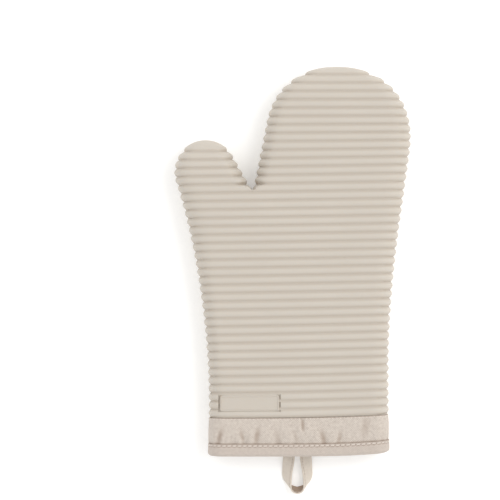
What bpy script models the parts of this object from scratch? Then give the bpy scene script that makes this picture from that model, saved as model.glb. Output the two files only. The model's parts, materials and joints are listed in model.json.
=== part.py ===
"""Oven mitt: a ribbed silicone shell over a quilted lining, with a sewn fabric cuff and a hanging loop.

The mitt lies on its rear face with the fingers towards +Y and the thumb towards -X. Every layer is the same hand
form at its own depth: a depth of 0 is the rib crests, and deeper layers nest inside. Until the end, X = 0 is the
middle of the cuff, Y = 0 its open end and Z = 0 the plane between the front and rear halves. The parent empty then
puts the frame's origin under the middle of the whole mitt, on the surface that it lies on.
"""

import math

import bmesh
import bpy
import numpy as np
from mathutils import Vector
from mathutils.geometry import interpolate_bezier

# Hand outline at the rib crests, in metres
CUFF_WIDTH = 0.150
FINGER_RADIUS = 0.0598
FINGER_FULLNESS = 2.2  # power of the curve over the little finger's corner; 2 would be a circle
FINGER_CENTRE = Vector((0.0317, 0.2639))
THUMB_RADIUS = 0.0262
THUMB_CENTRE = Vector((-0.0775, 0.2365))
HAND_LEAN = math.radians(11.9)  # the hand's thumb side, from upright
THUMB_INNER_LEAN = math.radians(29.2)  # the thumb's side towards the hand
THUMB_OUTER_LEAN = math.radians(18.0)  # the thumb's outer side
THUMB_ROOT_REACH = 0.054  # how far the thumb's outer side keeps its own direction down the palm
WRIST_LEFT_Y = 0.045  # where the thumb side becomes parallel to the other
WRIST_LEFT_PULL = 0.060
WRIST_RIGHT_Y = 0.075  # where the little-finger side becomes parallel
WRIST_RIGHT_PULL = 0.085
KNUCKLE_PULL = 0.022

# Thickness of the whole hand, and how its edges round over
HALF_THICKNESS = 0.0165
SIDE_ROUNDING = 0.012
TIP_ROUNDING = 0.024
TIP_FLAT = 0.0005
CUFF_SINK = 0.0016  # how much thinner the open end is, each side
CUFF_SINK_LENGTH = 0.060

# Ribs
RIB_COUNT = 42
RIB_DEPTH = 0.0016
RIB_FLANK = 0.0015
TIP_CLEAR = 0.002  # no rib edge is nearer than this to a finger or thumb tip

# Layer thicknesses
GAP = 0.0003
SILICONE_WALL = 0.0010
FLANGE_WALL = 0.0008
BAND_WALL = 0.0009
BINDING_WALL = 0.0007
BACKING_WALL = 0.0005
WADDING_WALL = 0.0030
FACE_WALL = 0.0008
THREAD_RADIUS = 0.00025
SEAM_THREAD_RADIUS = 0.0003

# Cuff
CUFF_LENGTH = 0.0323  # open end to the shell
FLANGE_LENGTH = 0.008
BINDING_LENGTH = 0.0105
HEM_STITCH_Y = 0.0079
BAND_STITCH_SETBACK = 0.0012  # from the band's edge beside the shell

# Name plate, moulded on the front
PLATE_WIDTH = 0.0482
PLATE_LENGTH = 0.0126
PLATE_FROM_SIDE = 0.0100
PLATE_FROM_CUFF = 0.0058
PLATE_PROUD = 0.0004
PLATE_RIM = 0.0009
PLATE_SUNK = 0.0005

# Hanging loop
LOOP_CENTRE_X = -0.0009
LOOP_LENGTH = 0.0286
LOOP_LEG_SPACING = 0.0077  # middle of the loop to the middle of a leg, at the hem
LOOP_BELLY = 0.0105
LOOP_SHOULDER = 0.0075
TAPE_WIDTH = 0.0092
TAPE_THICKNESS = 0.0014
TAPE_LEAN = math.radians(32.0)
LOOP_EXIT_HEIGHT = 0.0031  # how far above lying flat the tape leaves the hem
LOOP_EXIT_SHARE = 0.35
LOOP_TWIST_START = 0.4
TAPE_STITCH_SETBACK = 0.0016

# Mesh resolution
PALM_STEPS = 12
SPAN_STEPS = 9
EDGE_STEPS = 40
LOOP_STEPS = 12
THREAD_SIDES = 6
WELD_DISTANCE = 1e-6
SEAM_POINT_STRIDE = 5

FINGER_TIP = FINGER_CENTRE.y + FINGER_RADIUS
THUMB_TIP = THUMB_CENTRE.y + THUMB_RADIUS
SHELL_START = CUFF_LENGTH + GAP
RIB_PITCH = (FINGER_TIP - SHELL_START) / RIB_COUNT

# Depth of each layer's outer and inner face below the rib crests
SHELL_IN = RIB_DEPTH + SILICONE_WALL
FLANGE_OUT = SHELL_IN - FLANGE_WALL
BAND_IN = FLANGE_OUT - GAP
BAND_OUT = BAND_IN - BAND_WALL
BINDING_OUT = BAND_OUT - GAP - BINDING_WALL
BACKING_OUT = SHELL_IN + GAP
BACKING_IN = BACKING_OUT + BACKING_WALL
WADDING_OUT = BACKING_IN + GAP
WADDING_IN = WADDING_OUT + WADDING_WALL
FACE_OUT = WADDING_IN + GAP
FACE_IN = FACE_OUT + FACE_WALL
BINDING_IN = FACE_IN + GAP + BINDING_WALL
HEM_END = BINDING_WALL + GAP  # where the layers stop inside the binding
SEAM_HALF_GAP = SEAM_THREAD_RADIUS + GAP


def arc(centre, radius, start, end):
    """Points on a circle from one angle to another, in radians."""
    angles = np.linspace(start, end, EDGE_STEPS)
    return [centre + radius * Vector((math.cos(a), math.sin(a))) for a in angles]


def full_quarter(centre, radius, power):
    """Points from a centre's right side up to its top, bulging further out than a circle would."""
    angles = np.linspace(0, math.pi / 2, EDGE_STEPS)
    shares = [(max(0, math.cos(a)) ** (2 / power), math.sin(a) ** (2 / power)) for a in angles]
    return [centre + radius * Vector(share) for share in shares]


def bezier(start, start_pull, end_pull, end):
    """Points on a cubic curve in the XY plane."""
    knots = [p.to_3d() for p in (start, start_pull, end_pull, end)]
    return [p.to_2d() for p in interpolate_bezier(*knots, EDGE_STEPS)]


def palm_left_edge():
    """From the open end up the palm and the thumb's outer side, to the thumb's tip."""
    wrist = Vector((-CUFF_WIDTH / 2, WRIST_LEFT_Y))
    touch = math.pi + THUMB_OUTER_LEAN
    root = THUMB_CENTRE + THUMB_RADIUS * Vector((math.cos(touch), math.sin(touch)))
    down = Vector((math.sin(THUMB_OUTER_LEAN), -math.cos(THUMB_OUTER_LEAN)))
    side = bezier(wrist, wrist + Vector((0, WRIST_LEFT_PULL)), root + down * THUMB_ROOT_REACH, root)
    tip = arc(THUMB_CENTRE, THUMB_RADIUS, touch, math.pi / 2)
    return [Vector((-CUFF_WIDTH / 2, 0))] + side + tip[1:]


def hand_right_edge():
    """From the open end up the little-finger side to the fingertips."""
    wrist = Vector((CUFF_WIDTH / 2, WRIST_RIGHT_Y))
    knuckle = FINGER_CENTRE + Vector((FINGER_RADIUS, 0))
    side = bezier(
        wrist,
        wrist + Vector((0, WRIST_RIGHT_PULL)),
        knuckle - Vector((0, KNUCKLE_PULL)),
        knuckle,
    )
    tip = full_quarter(FINGER_CENTRE, FINGER_RADIUS, FINGER_FULLNESS)
    return [Vector((CUFF_WIDTH / 2, 0))] + side + tip[1:]


def meeting_point():
    """Where the thumb's inner side and the hand's thumb side cross: the bottom of the fork between them."""
    thumb = THUMB_CENTRE + THUMB_RADIUS * Vector((math.cos(THUMB_INNER_LEAN), math.sin(THUMB_INNER_LEAN)))
    hand = FINGER_CENTRE + FINGER_RADIUS * Vector((-math.cos(HAND_LEAN), math.sin(HAND_LEAN)))
    thumb_run = -math.tan(THUMB_INNER_LEAN)
    hand_run = math.tan(HAND_LEAN)
    y = (hand.x - thumb.x + thumb_run * thumb.y - hand_run * hand.y) / (thumb_run - hand_run)
    return Vector((thumb.x + thumb_run * (y - thumb.y), y))


def fork_edges(fork):
    """The thumb's inner side and the hand's thumb side, each from the fork up to its tip."""
    thumb = arc(THUMB_CENTRE, THUMB_RADIUS, THUMB_INNER_LEAN, math.pi / 2)
    hand = arc(FINGER_CENTRE, FINGER_RADIUS, math.pi - HAND_LEAN, math.pi / 2)
    return [fork] + thumb, [fork] + hand


FORK = meeting_point()
FORK_SPREAD = 1 / math.cos(THUMB_INNER_LEAN) + 1 / math.cos(HAND_LEAN)
FORK_RUN = math.tan(THUMB_INNER_LEAN) + math.tan(HAND_LEAN)
PALM_LEFT = palm_left_edge()
HAND_RIGHT = hand_right_edge()
THUMB_INNER, HAND_INNER = fork_edges(FORK)


def inset_edge(edge, depth, inward):
    """An edge moved into the hand. inward is 1 for an edge whose hand side is +X, and -1 for the other."""
    points = np.array(edge)
    run = np.gradient(points, axis=0)
    run /= np.linalg.norm(run, axis=1)[:, None]
    normal = np.column_stack((run[:, 1], -run[:, 0]))
    return points + normal * depth * inward


def edge_x(edge, y, depth, inward):
    """The X of an inset edge at a height y, carried on straight below its first point."""
    points = inset_edge(edge, depth, inward)
    if y < points[0, 1]:
        first, second = points[0], points[1]
        return first[0] + (y - first[1]) * (second[0] - first[0]) / (second[1] - first[1])
    return float(np.interp(y, points[:, 1], points[:, 0]))


def fork_y(depth):
    """The bottom of the fork in a layer at this depth."""
    return FORK.y - depth * FORK_SPREAD / FORK_RUN


def half_height(y, tip, depth):
    """Half the layer's thickness at a height y, under a finger or thumb that ends at tip."""
    sink = CUFF_SINK * max(0, 1 - y / CUFF_SINK_LENGTH) ** 2
    rise = min(1, (tip - depth - y) / (TIP_ROUNDING - depth))
    return (HALF_THICKNESS - sink - depth) * math.sqrt(1 - (1 - rise) ** 2)


def rounded_side(x, inward, width, height, degrees):
    """Points over a rounded side, from its outermost point up to the flat."""
    angles = [math.radians(a) for a in degrees]
    return [(x + inward * width * (1 - math.cos(a)), height * math.sin(a)) for a in angles]


def mirrored_ring(top, y):
    """A closed ring at height y from its front half, whose first and last points lie between the halves."""
    rear = [(x, -z) for x, z in reversed(top[1:-1])]
    return [Vector((x, y, z)) for x, z in top + rear]


OUTER_SIDE = (0, 30, 60, 90)
FORK_SIDE = (0, 45, 90)


def palm_ring(y, depth):
    """Across the palm and cuff, where the thumb and hand are one."""
    left = edge_x(PALM_LEFT, y, depth, 1)
    right = edge_x(HAND_RIGHT, y, depth, -1)
    height = half_height(y, FINGER_TIP, depth)
    width = SIDE_ROUNDING - depth
    middle = ((FORK.x + right - width) / 2, height)
    left_side = rounded_side(left, 1, width, height, OUTER_SIDE)
    right_side = rounded_side(right, -1, width, height, OUTER_SIDE)
    return mirrored_ring(left_side + [(FORK.x, height), middle] + right_side[::-1], y)


def thumb_ring(y, depth):
    """Across the thumb above the fork."""
    left = edge_x(PALM_LEFT, y, depth, 1)
    right = edge_x(THUMB_INNER, y, depth, -1)
    height = half_height(y, THUMB_TIP, depth)
    limit = 0.45 * (right - left)
    width = min(SIDE_ROUNDING - depth, limit)
    fork_width = min(width, y - fork_y(depth))
    left_side = rounded_side(left, 1, width, height, OUTER_SIDE)
    fork_side = rounded_side(right, -1, fork_width, height, FORK_SIDE)
    return mirrored_ring(left_side + fork_side[::-1], y)


def hand_ring(y, depth):
    """Across the fingers above the fork."""
    left = edge_x(HAND_INNER, y, depth, 1)
    right = edge_x(HAND_RIGHT, y, depth, -1)
    height = half_height(y, FINGER_TIP, depth)
    limit = 0.45 * (right - left)
    width = min(SIDE_ROUNDING - depth, limit)
    fork_width = min(width, y - fork_y(depth))
    fork_side = rounded_side(left, 1, fork_width, height, FORK_SIDE)
    right_side = rounded_side(right, -1, width, height, OUTER_SIDE)
    middle = ((fork_side[-1][0] + right_side[-1][0]) / 2, height)
    return mirrored_ring(fork_side + [middle] + right_side[::-1], y)


def new_ring(bm, points):
    """A closed ring of vertices and edges."""
    ring = [bm.verts.new(p) for p in points]
    for a, b in zip(ring, ring[1:] + ring[:1]):
        bm.edges.new((a, b))
    return ring


def ring_edges(bm, ring):
    """The edges between a ring's neighbours."""
    return [bm.edges.get(pair) for pair in zip(ring, ring[1:] + ring[:1])]


def extrude_ring(bm, ring, points):
    """Extrudes a ring and moves the new one onto these points."""
    grown = bmesh.ops.extrude_edge_only(bm, edges=ring_edges(bm, ring))["geom"]
    fresh = {item for item in grown if isinstance(item, bmesh.types.BMVert)}
    moved = []
    for vert, point in zip(ring, points):
        twin = next(e.other_vert(vert) for e in vert.link_edges if e.other_vert(vert) in fresh)
        twin.co = point
        moved.append(twin)
    return moved


def loft(bm, ring, sections):
    """Extrudes a ring through sections, and returns the last ring."""
    for points in sections:
        ring = extrude_ring(bm, ring, points)
    return ring


def split_at_fork(bm, ring):
    """Runs a short chain of vertices from front to rear at the fork, and returns the thumb's and the hand's ring."""
    side = len(OUTER_SIDE)
    front = ring[side]
    rear = ring[-side]
    heights = [math.sin(math.radians(a)) for a in (45, 0, -45)]
    chain = [bm.verts.new((front.co.x, front.co.y, front.co.z * h)) for h in heights]
    for a, b in zip([front] + chain, chain + [rear]):
        bm.edges.new((a, b))
    thumb = ring[:side] + [front] + chain + [rear] + ring[1 - side :]
    hand = [chain[1], chain[0], front] + ring[side + 1 : -side] + [rear, chain[2]]
    return thumb, hand


def glove_wall(bm, first, palm, thumb, hand):
    """One surface of the hand form, carried on from its ring at the cuff."""
    last = loft(bm, first, [palm_ring(*station) for station in palm[1:]])
    thumb_start, hand_start = split_at_fork(bm, last)
    thumb_end = loft(bm, thumb_start, [thumb_ring(*station) for station in thumb])
    hand_end = loft(bm, hand_start, [hand_ring(*station) for station in hand])
    bm.faces.new(thumb_end)
    bm.faces.new(hand_end)


def glove_solid(outer, inner):
    """A layer of the hand form between two surfaces, each given as its stations."""
    bm = bmesh.new()
    outer_ring = new_ring(bm, palm_ring(*outer[0][0]))
    inner_ring = extrude_ring(bm, outer_ring, palm_ring(*inner[0][0]))
    glove_wall(bm, outer_ring, *outer)
    glove_wall(bm, inner_ring, *inner)
    return bm


def smooth_stations(start, depth):
    """Stations of a plain layer: up the palm, then up the thumb and the hand, closer together at the tips."""
    fork = fork_y(depth)
    palm = [(start + (fork - start) * k / PALM_STEPS, depth) for k in range(PALM_STEPS + 1)]
    spans = []
    for tip in (THUMB_TIP, FINGER_TIP):
        span = tip - depth - TIP_FLAT - fork
        shares = [math.sin(math.pi / 2 * (k + 1) / SPAN_STEPS) for k in range(SPAN_STEPS)]
        spans.append([(fork + span * share, depth) for share in shares])
    return palm, spans[0], spans[1]


def rib_stations():
    """Stations of the ribbed surface, from the sewing flange to the tips."""
    palm = [(SHELL_START - FLANGE_LENGTH, FLANGE_OUT), (SHELL_START, FLANGE_OUT), (SHELL_START, RIB_DEPTH / 3)]
    ribs = []
    for k in range(RIB_COUNT):
        start = SHELL_START + k * RIB_PITCH
        ribs += [(start + RIB_FLANK, 0), (start + RIB_PITCH - RIB_FLANK, 0), (start + RIB_PITCH, RIB_DEPTH)]
    joined = 1 + max(k for k, (y, d) in enumerate(ribs) if y < fork_y(d) + TIP_CLEAR)
    below, above = ribs[:joined], ribs[joined:]
    spans = []
    for tip in (THUMB_TIP, FINGER_TIP):
        spans.append([(y, d) for y, d in above if y < tip - d - TIP_CLEAR] + [(tip - TIP_FLAT, 0)])
    return palm + below, spans[0], spans[1]


def finished_object(name, bm, colour, roughness, parent):
    """Turns a finished bmesh into a named object with its own material."""
    bmesh.ops.recalc_face_normals(bm, faces=bm.faces)
    mesh = bpy.data.meshes.new(name)
    bm.to_mesh(mesh)
    bm.free()
    mesh.shade_smooth()
    mesh.set_sharp_from_angle(angle=math.radians(40))
    return linked_object(name, mesh, colour, roughness, parent)


def linked_object(name, data, colour, roughness, parent):
    """Puts data into the scene under a name, a material and a parent."""
    material = bpy.data.materials.new(name)
    material.use_nodes = True
    shader = material.node_tree.nodes["Principled BSDF"]
    shader.inputs["Base Color"].default_value = (*colour, 1)
    shader.inputs["Roughness"].default_value = roughness
    shader.inputs["Metallic"].default_value = 0
    data.materials.append(material)
    piece = bpy.data.objects.new(name, data)
    bpy.context.scene.collection.objects.link(piece)
    piece.parent = parent
    return piece


SILICONE_COLOUR = (0.64, 0.58, 0.51)
TWILL_COLOUR = (0.67, 0.57, 0.51)
THREAD_COLOUR = (0.70, 0.61, 0.55)
LINING_COLOUR = (0.62, 0.56, 0.50)
WADDING_COLOUR = (0.85, 0.85, 0.84)


def name_plate(parent):
    """The raised plate with a rim round a sunk blank field, which the shell's union takes in."""
    bottom = -RIB_DEPTH - SILICONE_WALL / 2
    size = Vector((PLATE_WIDTH, PLATE_LENGTH, 0))
    low_x = -CUFF_WIDTH / 2 + PLATE_FROM_SIDE
    low_y = SHELL_START + PLATE_FROM_CUFF
    centre = Vector((low_x, low_y, HALF_THICKNESS)) + size / 2
    bm = bmesh.new()
    bmesh.ops.create_cube(bm, size=1)
    bmesh.ops.scale(bm, vec=(PLATE_WIDTH, PLATE_LENGTH, PLATE_PROUD - bottom), verts=bm.verts)
    bmesh.ops.translate(bm, vec=centre + Vector((0, 0, (PLATE_PROUD + bottom) / 2)), verts=bm.verts)
    top = max(bm.faces, key=lambda face: face.calc_center_median().z)
    bmesh.ops.inset_region(bm, faces=[top], thickness=PLATE_RIM, depth=0)
    bmesh.ops.translate(bm, vec=(0, 0, -PLATE_SUNK), verts=top.verts)
    plate = finished_object("name_plate_guide", bm, SILICONE_COLOUR, 0.6, parent)
    plate.hide_render = True
    plate.display_type = "WIRE"
    return plate


def silicone_shell(parent):
    """The moulded shell: ribbed outside, plain inside, with the sewing flange and the name plate."""
    bm = glove_solid(rib_stations(), smooth_stations(SHELL_START - FLANGE_LENGTH, SHELL_IN))
    shell = finished_object("silicone_shell", bm, SILICONE_COLOUR, 0.6, parent)
    union = shell.modifiers.new("name plate", "BOOLEAN")
    union.operation = "UNION"
    union.solver = "EXACT"
    union.object = name_plate(parent)
    return shell


def lining_half(name, outer_depth, inner_depth, side, colour, parent):
    """One layer of the quilted lining, cut along the seam between the front half (side 1) and the rear (-1)."""
    bm = glove_solid(smooth_stations(HEM_END, outer_depth), smooth_stations(HEM_END, inner_depth))
    everything = bm.verts[:] + bm.edges[:] + bm.faces[:]
    seam = Vector((0, 0, side * SEAM_HALF_GAP))
    bmesh.ops.bisect_plane(
        bm, geom=everything, dist=WELD_DISTANCE, plane_co=seam, plane_no=(0, 0, side), clear_inner=True
    )
    bmesh.ops.holes_fill(bm, edges=[edge for edge in bm.edges if edge.is_boundary], sides=0)
    return finished_object(name, bm, colour, 0.9, parent)


def ring_solid(name, profile, colour, parent):
    """A closed band round the cuff, from its cross-section as (y, depth) corners."""
    bm = bmesh.new()
    first = new_ring(bm, palm_ring(*profile[0]))
    loft(bm, first, [palm_ring(*corner) for corner in profile[1:] + profile[:1]])
    bmesh.ops.remove_doubles(bm, verts=bm.verts, dist=WELD_DISTANCE)
    return finished_object(name, bm, colour, 0.9, parent)


def cuff_band(parent):
    """The twill band between the binding and the shell, over the shell's flange."""
    profile = [(HEM_END, BAND_OUT), (CUFF_LENGTH, BAND_OUT), (CUFF_LENGTH, BAND_IN), (HEM_END, BAND_IN)]
    return ring_solid("cuff_band", profile, TWILL_COLOUR, parent)


def cuff_binding(parent):
    """The folded strip round the open end, outside the band and inside the lining."""
    outer = BINDING_OUT
    inner = BINDING_IN
    profile = [
        (BINDING_LENGTH, outer),
        (BINDING_WALL, outer),
        (0, outer + BINDING_WALL),
        (0, inner - BINDING_WALL),
        (BINDING_WALL, inner),
        (BINDING_LENGTH, inner),
        (BINDING_LENGTH, inner - BINDING_WALL),
        (BINDING_WALL, inner - BINDING_WALL),
        (BINDING_WALL, outer + BINDING_WALL),
        (BINDING_LENGTH, outer + BINDING_WALL),
    ]
    return ring_solid("cuff_binding", profile, TWILL_COLOUR, parent)


def stitch_ring(name, y, cloth_depth, parent):
    """A row of stitches round the cuff, lying on a cloth face."""
    middle = cloth_depth - GAP - THREAD_RADIUS
    turns = [2 * math.pi * k / THREAD_SIDES for k in range(THREAD_SIDES)]
    profile = [(y + THREAD_RADIUS * math.cos(a), middle + THREAD_RADIUS * math.sin(a)) for a in turns]
    return ring_solid(name, profile, THREAD_COLOUR, parent)


def thread_curve(name, points, radius, parent):
    """A thread as a round tube through points."""
    curve = bpy.data.curves.new(name, "CURVE")
    curve.dimensions = "3D"
    curve.bevel_depth = radius
    curve.bevel_resolution = 1
    curve.use_fill_caps = True
    spline = curve.splines.new("POLY")
    spline.points.add(len(points) - 1)
    for knot, point in zip(spline.points, points):
        knot.co = (*point, 1)
    return linked_object(name, curve, THREAD_COLOUR, 0.8, parent)


def lining_seam_thread(parent):
    """The seam between the lining's halves: up the thumb, round the fork and over the fingertips to the cuff."""
    depth = (WADDING_OUT + WADDING_IN) / 2
    fork = fork_y(depth)
    thumb = inset_edge(PALM_LEFT, depth, 1)
    thumb_back = inset_edge(THUMB_INNER, depth, -1)[1:]
    hand = inset_edge(HAND_INNER, depth, 1)[1:]
    hand_back = inset_edge(HAND_RIGHT, depth, -1)
    fork_point = (edge_x(HAND_INNER, fork, depth, 1), fork)
    start = (thumb[0][0], HEM_END)
    end = (hand_back[0][0], HEM_END)
    stride = SEAM_POINT_STRIDE
    route = [start, *thumb[1:-1:stride], *thumb_back[::-stride], fork_point]
    route += [*hand[:-1:stride], *hand_back[:0:-stride], end]
    points = [Vector((x, y, 0)) for x, y in route]
    return thread_curve("lining_seam_thread", points, SEAM_THREAD_RADIUS, parent)


def loop_station(share, side):
    """Middle, width direction and face direction of the tape. share runs from the hem (0) to the loop's end (1)."""
    end = Vector((0, -LOOP_LENGTH))
    start = Vector((LOOP_LEG_SPACING, 0))
    belly = Vector((LOOP_BELLY, end.y / 2))
    shoulder = Vector((LOOP_SHOULDER, end.y))
    rest = 1 - share
    flat = rest**3 * start + 3 * rest**2 * share * belly + 3 * rest * share**2 * shoulder + share**3 * end
    run = rest**2 * (belly - start) + 2 * rest * share * (shoulder - belly) + share**2 * (end - shoulder)
    turned = max(0, (share - LOOP_TWIST_START) / (1 - LOOP_TWIST_START))
    twist = math.pi / 2 * turned * turned * (3 - 2 * turned)
    width = Vector((-side * math.cos(twist), -math.sin(TAPE_LEAN) * math.sin(twist), 0))
    width.z = math.cos(TAPE_LEAN) * math.sin(twist)
    dropped = min(1, share / LOOP_EXIT_SHARE)
    height = TAPE_WIDTH / 2 * width.z - LOOP_EXIT_HEIGHT * dropped * dropped * (3 - 2 * dropped)
    middle = Vector((side * flat.x, flat.y, height))
    along = Vector((side * run.x, run.y, 0)) * -side
    face = along.cross(width).normalized()
    return middle, width.normalized(), face


def loop_stations():
    """The tape's stations, up one leg and down the other."""
    shares = [math.sin(math.pi / 2 * k / LOOP_STEPS) for k in range(LOOP_STEPS + 1)]
    left = [loop_station(share, -1) for share in shares]
    right = [loop_station(share, 1) for share in reversed(shares[:-1])]
    return left + right


def hinge_place():
    """Where the loop leaves the hem, on the lower half of the cuff."""
    lying_flat = TAPE_THICKNESS / 2 - HALF_THICKNESS
    return Vector((LOOP_CENTRE_X, -TAPE_THICKNESS / 2 - GAP, lying_flat + LOOP_EXIT_HEIGHT))


def hanging_loop(parent):
    """The folded tape: two legs that lie flat, and an end that stands on its outer edge."""
    sections = []
    for middle, width, face in loop_stations():
        across = width * TAPE_WIDTH / 2
        through = face * TAPE_THICKNESS / 2
        sections.append([middle - across - through, middle + across - through])
        sections[-1] += [middle + across + through, middle - across + through]
    bm = bmesh.new()
    first = new_ring(bm, sections[0])
    last = loft(bm, first, sections[1:])
    bm.faces.new(first)
    bm.faces.new(last)
    loop = finished_object("hanging_loop", bm, TWILL_COLOUR, 0.9, parent)
    loop.location = hinge_place()
    return loop


def loop_stitch_thread(loop):
    """The row of stitches along the tape's inner edge."""
    points = []
    for middle, width, face in loop_stations()[1:-1]:
        across = width * (TAPE_WIDTH / 2 - TAPE_STITCH_SETBACK)
        points.append(middle + across + face * (TAPE_THICKNESS / 2 + GAP + THREAD_RADIUS))
    return thread_curve("loop_stitch_thread", points, THREAD_RADIUS, loop)


def centre_on_surface(base, pieces):
    """Moves the parent so that the frame's origin is under the middle of the whole mitt."""
    graph = bpy.context.evaluated_depsgraph_get()
    points = []
    for piece in pieces:
        shown = piece.evaluated_get(graph)
        points += [shown.matrix_world @ vert.co for vert in shown.to_mesh().vertices]
        shown.to_mesh_clear()
    low, high = np.min(points, axis=0), np.max(points, axis=0)
    base.location = (-(low[0] + high[0]) / 2, -(low[1] + high[1]) / 2, -low[2])


def main():
    for old in list(bpy.data.objects):
        bpy.data.objects.remove(old)
    base = bpy.data.objects.new("mitt_base", None)
    bpy.context.scene.collection.objects.link(base)
    pieces = [silicone_shell(base), cuff_band(base), cuff_binding(base)]
    pieces.append(stitch_ring("cuff_seam_thread", CUFF_LENGTH - BAND_STITCH_SETBACK, BAND_OUT, base))
    pieces.append(stitch_ring("hem_topstitch_thread", HEM_STITCH_Y, BINDING_OUT, base))
    layers = [
        ("backing_cloth", BACKING_OUT, BACKING_IN, LINING_COLOUR),
        ("wadding", WADDING_OUT, WADDING_IN, WADDING_COLOUR),
        ("lining_face", FACE_OUT, FACE_IN, LINING_COLOUR),
    ]
    for layer, outer_depth, inner_depth, colour in layers:
        for half, side in (("front", 1), ("rear", -1)):
            pieces.append(lining_half(f"{layer}_{half}", outer_depth, inner_depth, side, colour, base))
    pieces.append(lining_seam_thread(base))
    loop = hanging_loop(base)
    pieces += [loop, loop_stitch_thread(loop)]
    centre_on_surface(base, pieces)


main()
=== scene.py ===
"""Oven mitt: the looks of a ribbed silicone mitt with a quilted cotton lining, a twill cuff and a hanging loop.

The mitt's form is one hand outline taken at different depths: a depth of 0 is the rib crests, and deeper layers
nest inside. Every piece is worked out in the mitt's own measure, where X = 0 is the middle of the cuff, Y = 0 its
open end and Z = 0 the plane between the front and rear halves. ORIGIN then puts it in the frame.
"""

import json
import math

import bmesh
import bpy
import numpy as np
from bpy.props import FloatProperty, FloatVectorProperty, PointerProperty
from mathutils import Matrix, Vector
from mathutils.geometry import interpolate_bezier


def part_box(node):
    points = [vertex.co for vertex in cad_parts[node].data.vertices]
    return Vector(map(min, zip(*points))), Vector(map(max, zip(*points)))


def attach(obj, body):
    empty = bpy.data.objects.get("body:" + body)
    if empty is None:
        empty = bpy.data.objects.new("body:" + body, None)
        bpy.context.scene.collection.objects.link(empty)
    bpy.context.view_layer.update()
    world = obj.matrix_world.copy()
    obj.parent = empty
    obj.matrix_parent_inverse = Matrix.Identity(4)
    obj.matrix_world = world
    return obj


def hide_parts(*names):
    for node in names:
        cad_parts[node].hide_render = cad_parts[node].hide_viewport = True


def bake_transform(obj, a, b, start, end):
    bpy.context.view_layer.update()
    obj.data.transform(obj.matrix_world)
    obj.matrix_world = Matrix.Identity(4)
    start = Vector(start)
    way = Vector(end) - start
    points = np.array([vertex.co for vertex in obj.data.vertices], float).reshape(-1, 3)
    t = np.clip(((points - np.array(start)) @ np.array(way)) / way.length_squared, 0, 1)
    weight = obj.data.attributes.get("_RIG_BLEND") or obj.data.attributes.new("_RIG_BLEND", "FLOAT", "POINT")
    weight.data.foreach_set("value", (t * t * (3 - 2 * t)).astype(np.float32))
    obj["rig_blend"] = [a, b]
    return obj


bl_info = {
    "name": "Oven Mitt Looks",
    "version": (1, 0, 0),
    "blender": (4, 5, 0),
    "location": "3D View > Sidebar > Mitt",
    "description": "Builds the ribbed shell, the cuff, the lining and the hanging loop of an oven mitt",
    "category": "Add Mesh",
}

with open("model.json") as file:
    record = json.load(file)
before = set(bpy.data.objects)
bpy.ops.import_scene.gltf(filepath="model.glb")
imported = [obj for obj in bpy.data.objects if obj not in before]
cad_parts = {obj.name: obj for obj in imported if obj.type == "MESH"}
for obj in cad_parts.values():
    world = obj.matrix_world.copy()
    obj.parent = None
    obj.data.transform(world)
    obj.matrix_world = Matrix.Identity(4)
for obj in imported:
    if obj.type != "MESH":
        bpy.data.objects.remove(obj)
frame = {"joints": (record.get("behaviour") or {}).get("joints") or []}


def frame_origin():
    """The frame's place of the middle of the cuff's open end."""
    low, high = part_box("cuff_binding")
    return Vector(((low[0] + high[0]) / 2, low[1], (low[2] + high[2]) / 2))


ORIGIN = frame_origin()

# Hand outline at the rib crests, in metres
CUFF_WIDTH = 0.150
FINGER_RADIUS = 0.0598
FINGER_SIDE_RADIUS = 0.0618  # on the little finger's side, across
FINGER_FULLNESS = 2.2  # power of the curve over the fingers' two corners; 2 would be a circle
FOREFINGER_START = 0.27  # how far up the fingers' curve the hand's straight thumb side reaches, in radii
FINGER_CENTRE = Vector((0.0317, 0.2639))
THUMB_RADIUS = 0.0262
THUMB_CENTRE = Vector((-0.0775, 0.2365))
HAND_LEAN = math.radians(11.9)
THUMB_INNER_LEAN = math.radians(29.2)
THUMB_OUTER_LEAN = math.radians(18.0)
THUMB_ROOT_REACH = 0.054
WRIST_LEFT_Y = 0.045
WRIST_LEFT_PULL = 0.060
WRIST_RIGHT_Y = 0.075
WRIST_RIGHT_PULL = 0.085
KNUCKLE_PULL = 0.022
FINGER_TIP = FINGER_CENTRE.y + FINGER_RADIUS
THUMB_TIP = THUMB_CENTRE.y + THUMB_RADIUS

# Thickness of the hand, and how its edges round over
HALF_THICKNESS = 0.0165
SIDE_ROUNDING = 0.012
TIP_ROUNDING = 0.024
CUFF_SINK = 0.0016
CUFF_SINK_LENGTH = 0.060

# Depth of each layer below the rib crests
SHELL_START = 0.0326
RIB_COUNT = 42
RIB_PITCH = (FINGER_TIP - SHELL_START) / RIB_COUNT
FLANGE_OUT = 0.0018
SHELL_IN = 0.0026
FLANGE_START = SHELL_START - 0.008
BAND_IN = 0.0015
CUFF_LENGTH = 0.0323
BINDING_IN = 0.0088
BACKING_OUT = 0.0029
WADDING_OUT = 0.0037
WADDING_IN = 0.0067

# Place of the name plate
PLATE_FROM_SIDE = 0.0100
PLATE_FROM_CUFF = 0.0058

# Columns of points round a section of the mitt
SIDE_ANGLES = [math.radians(a) for a in (0, 9, 18, 27, 36, 45, 53, 61)]
FORK_ANGLES = [math.radians(a) for a in (0, 14, 28, 42, 54, 64, 74, 84)]
CHAIN_LENGTH = 2  # fork points on each side that lie only on the short chain between front and rear
THUMB_SPAN = 8
HAND_SPAN = 22
EDGE_STEPS = 120
FORK_COLUMN = len(SIDE_ANGLES) + THUMB_SPAN + len(FORK_ANGLES) - CHAIN_LENGTH - 2  # the front column at the fork
SLOT_WALL = 0.00015  # how far the plate's slots lean from top to bottom
FORK_COLUMNS_REACH = 0.0006  # how close to the fork its narrow columns lie on the palm


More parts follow.
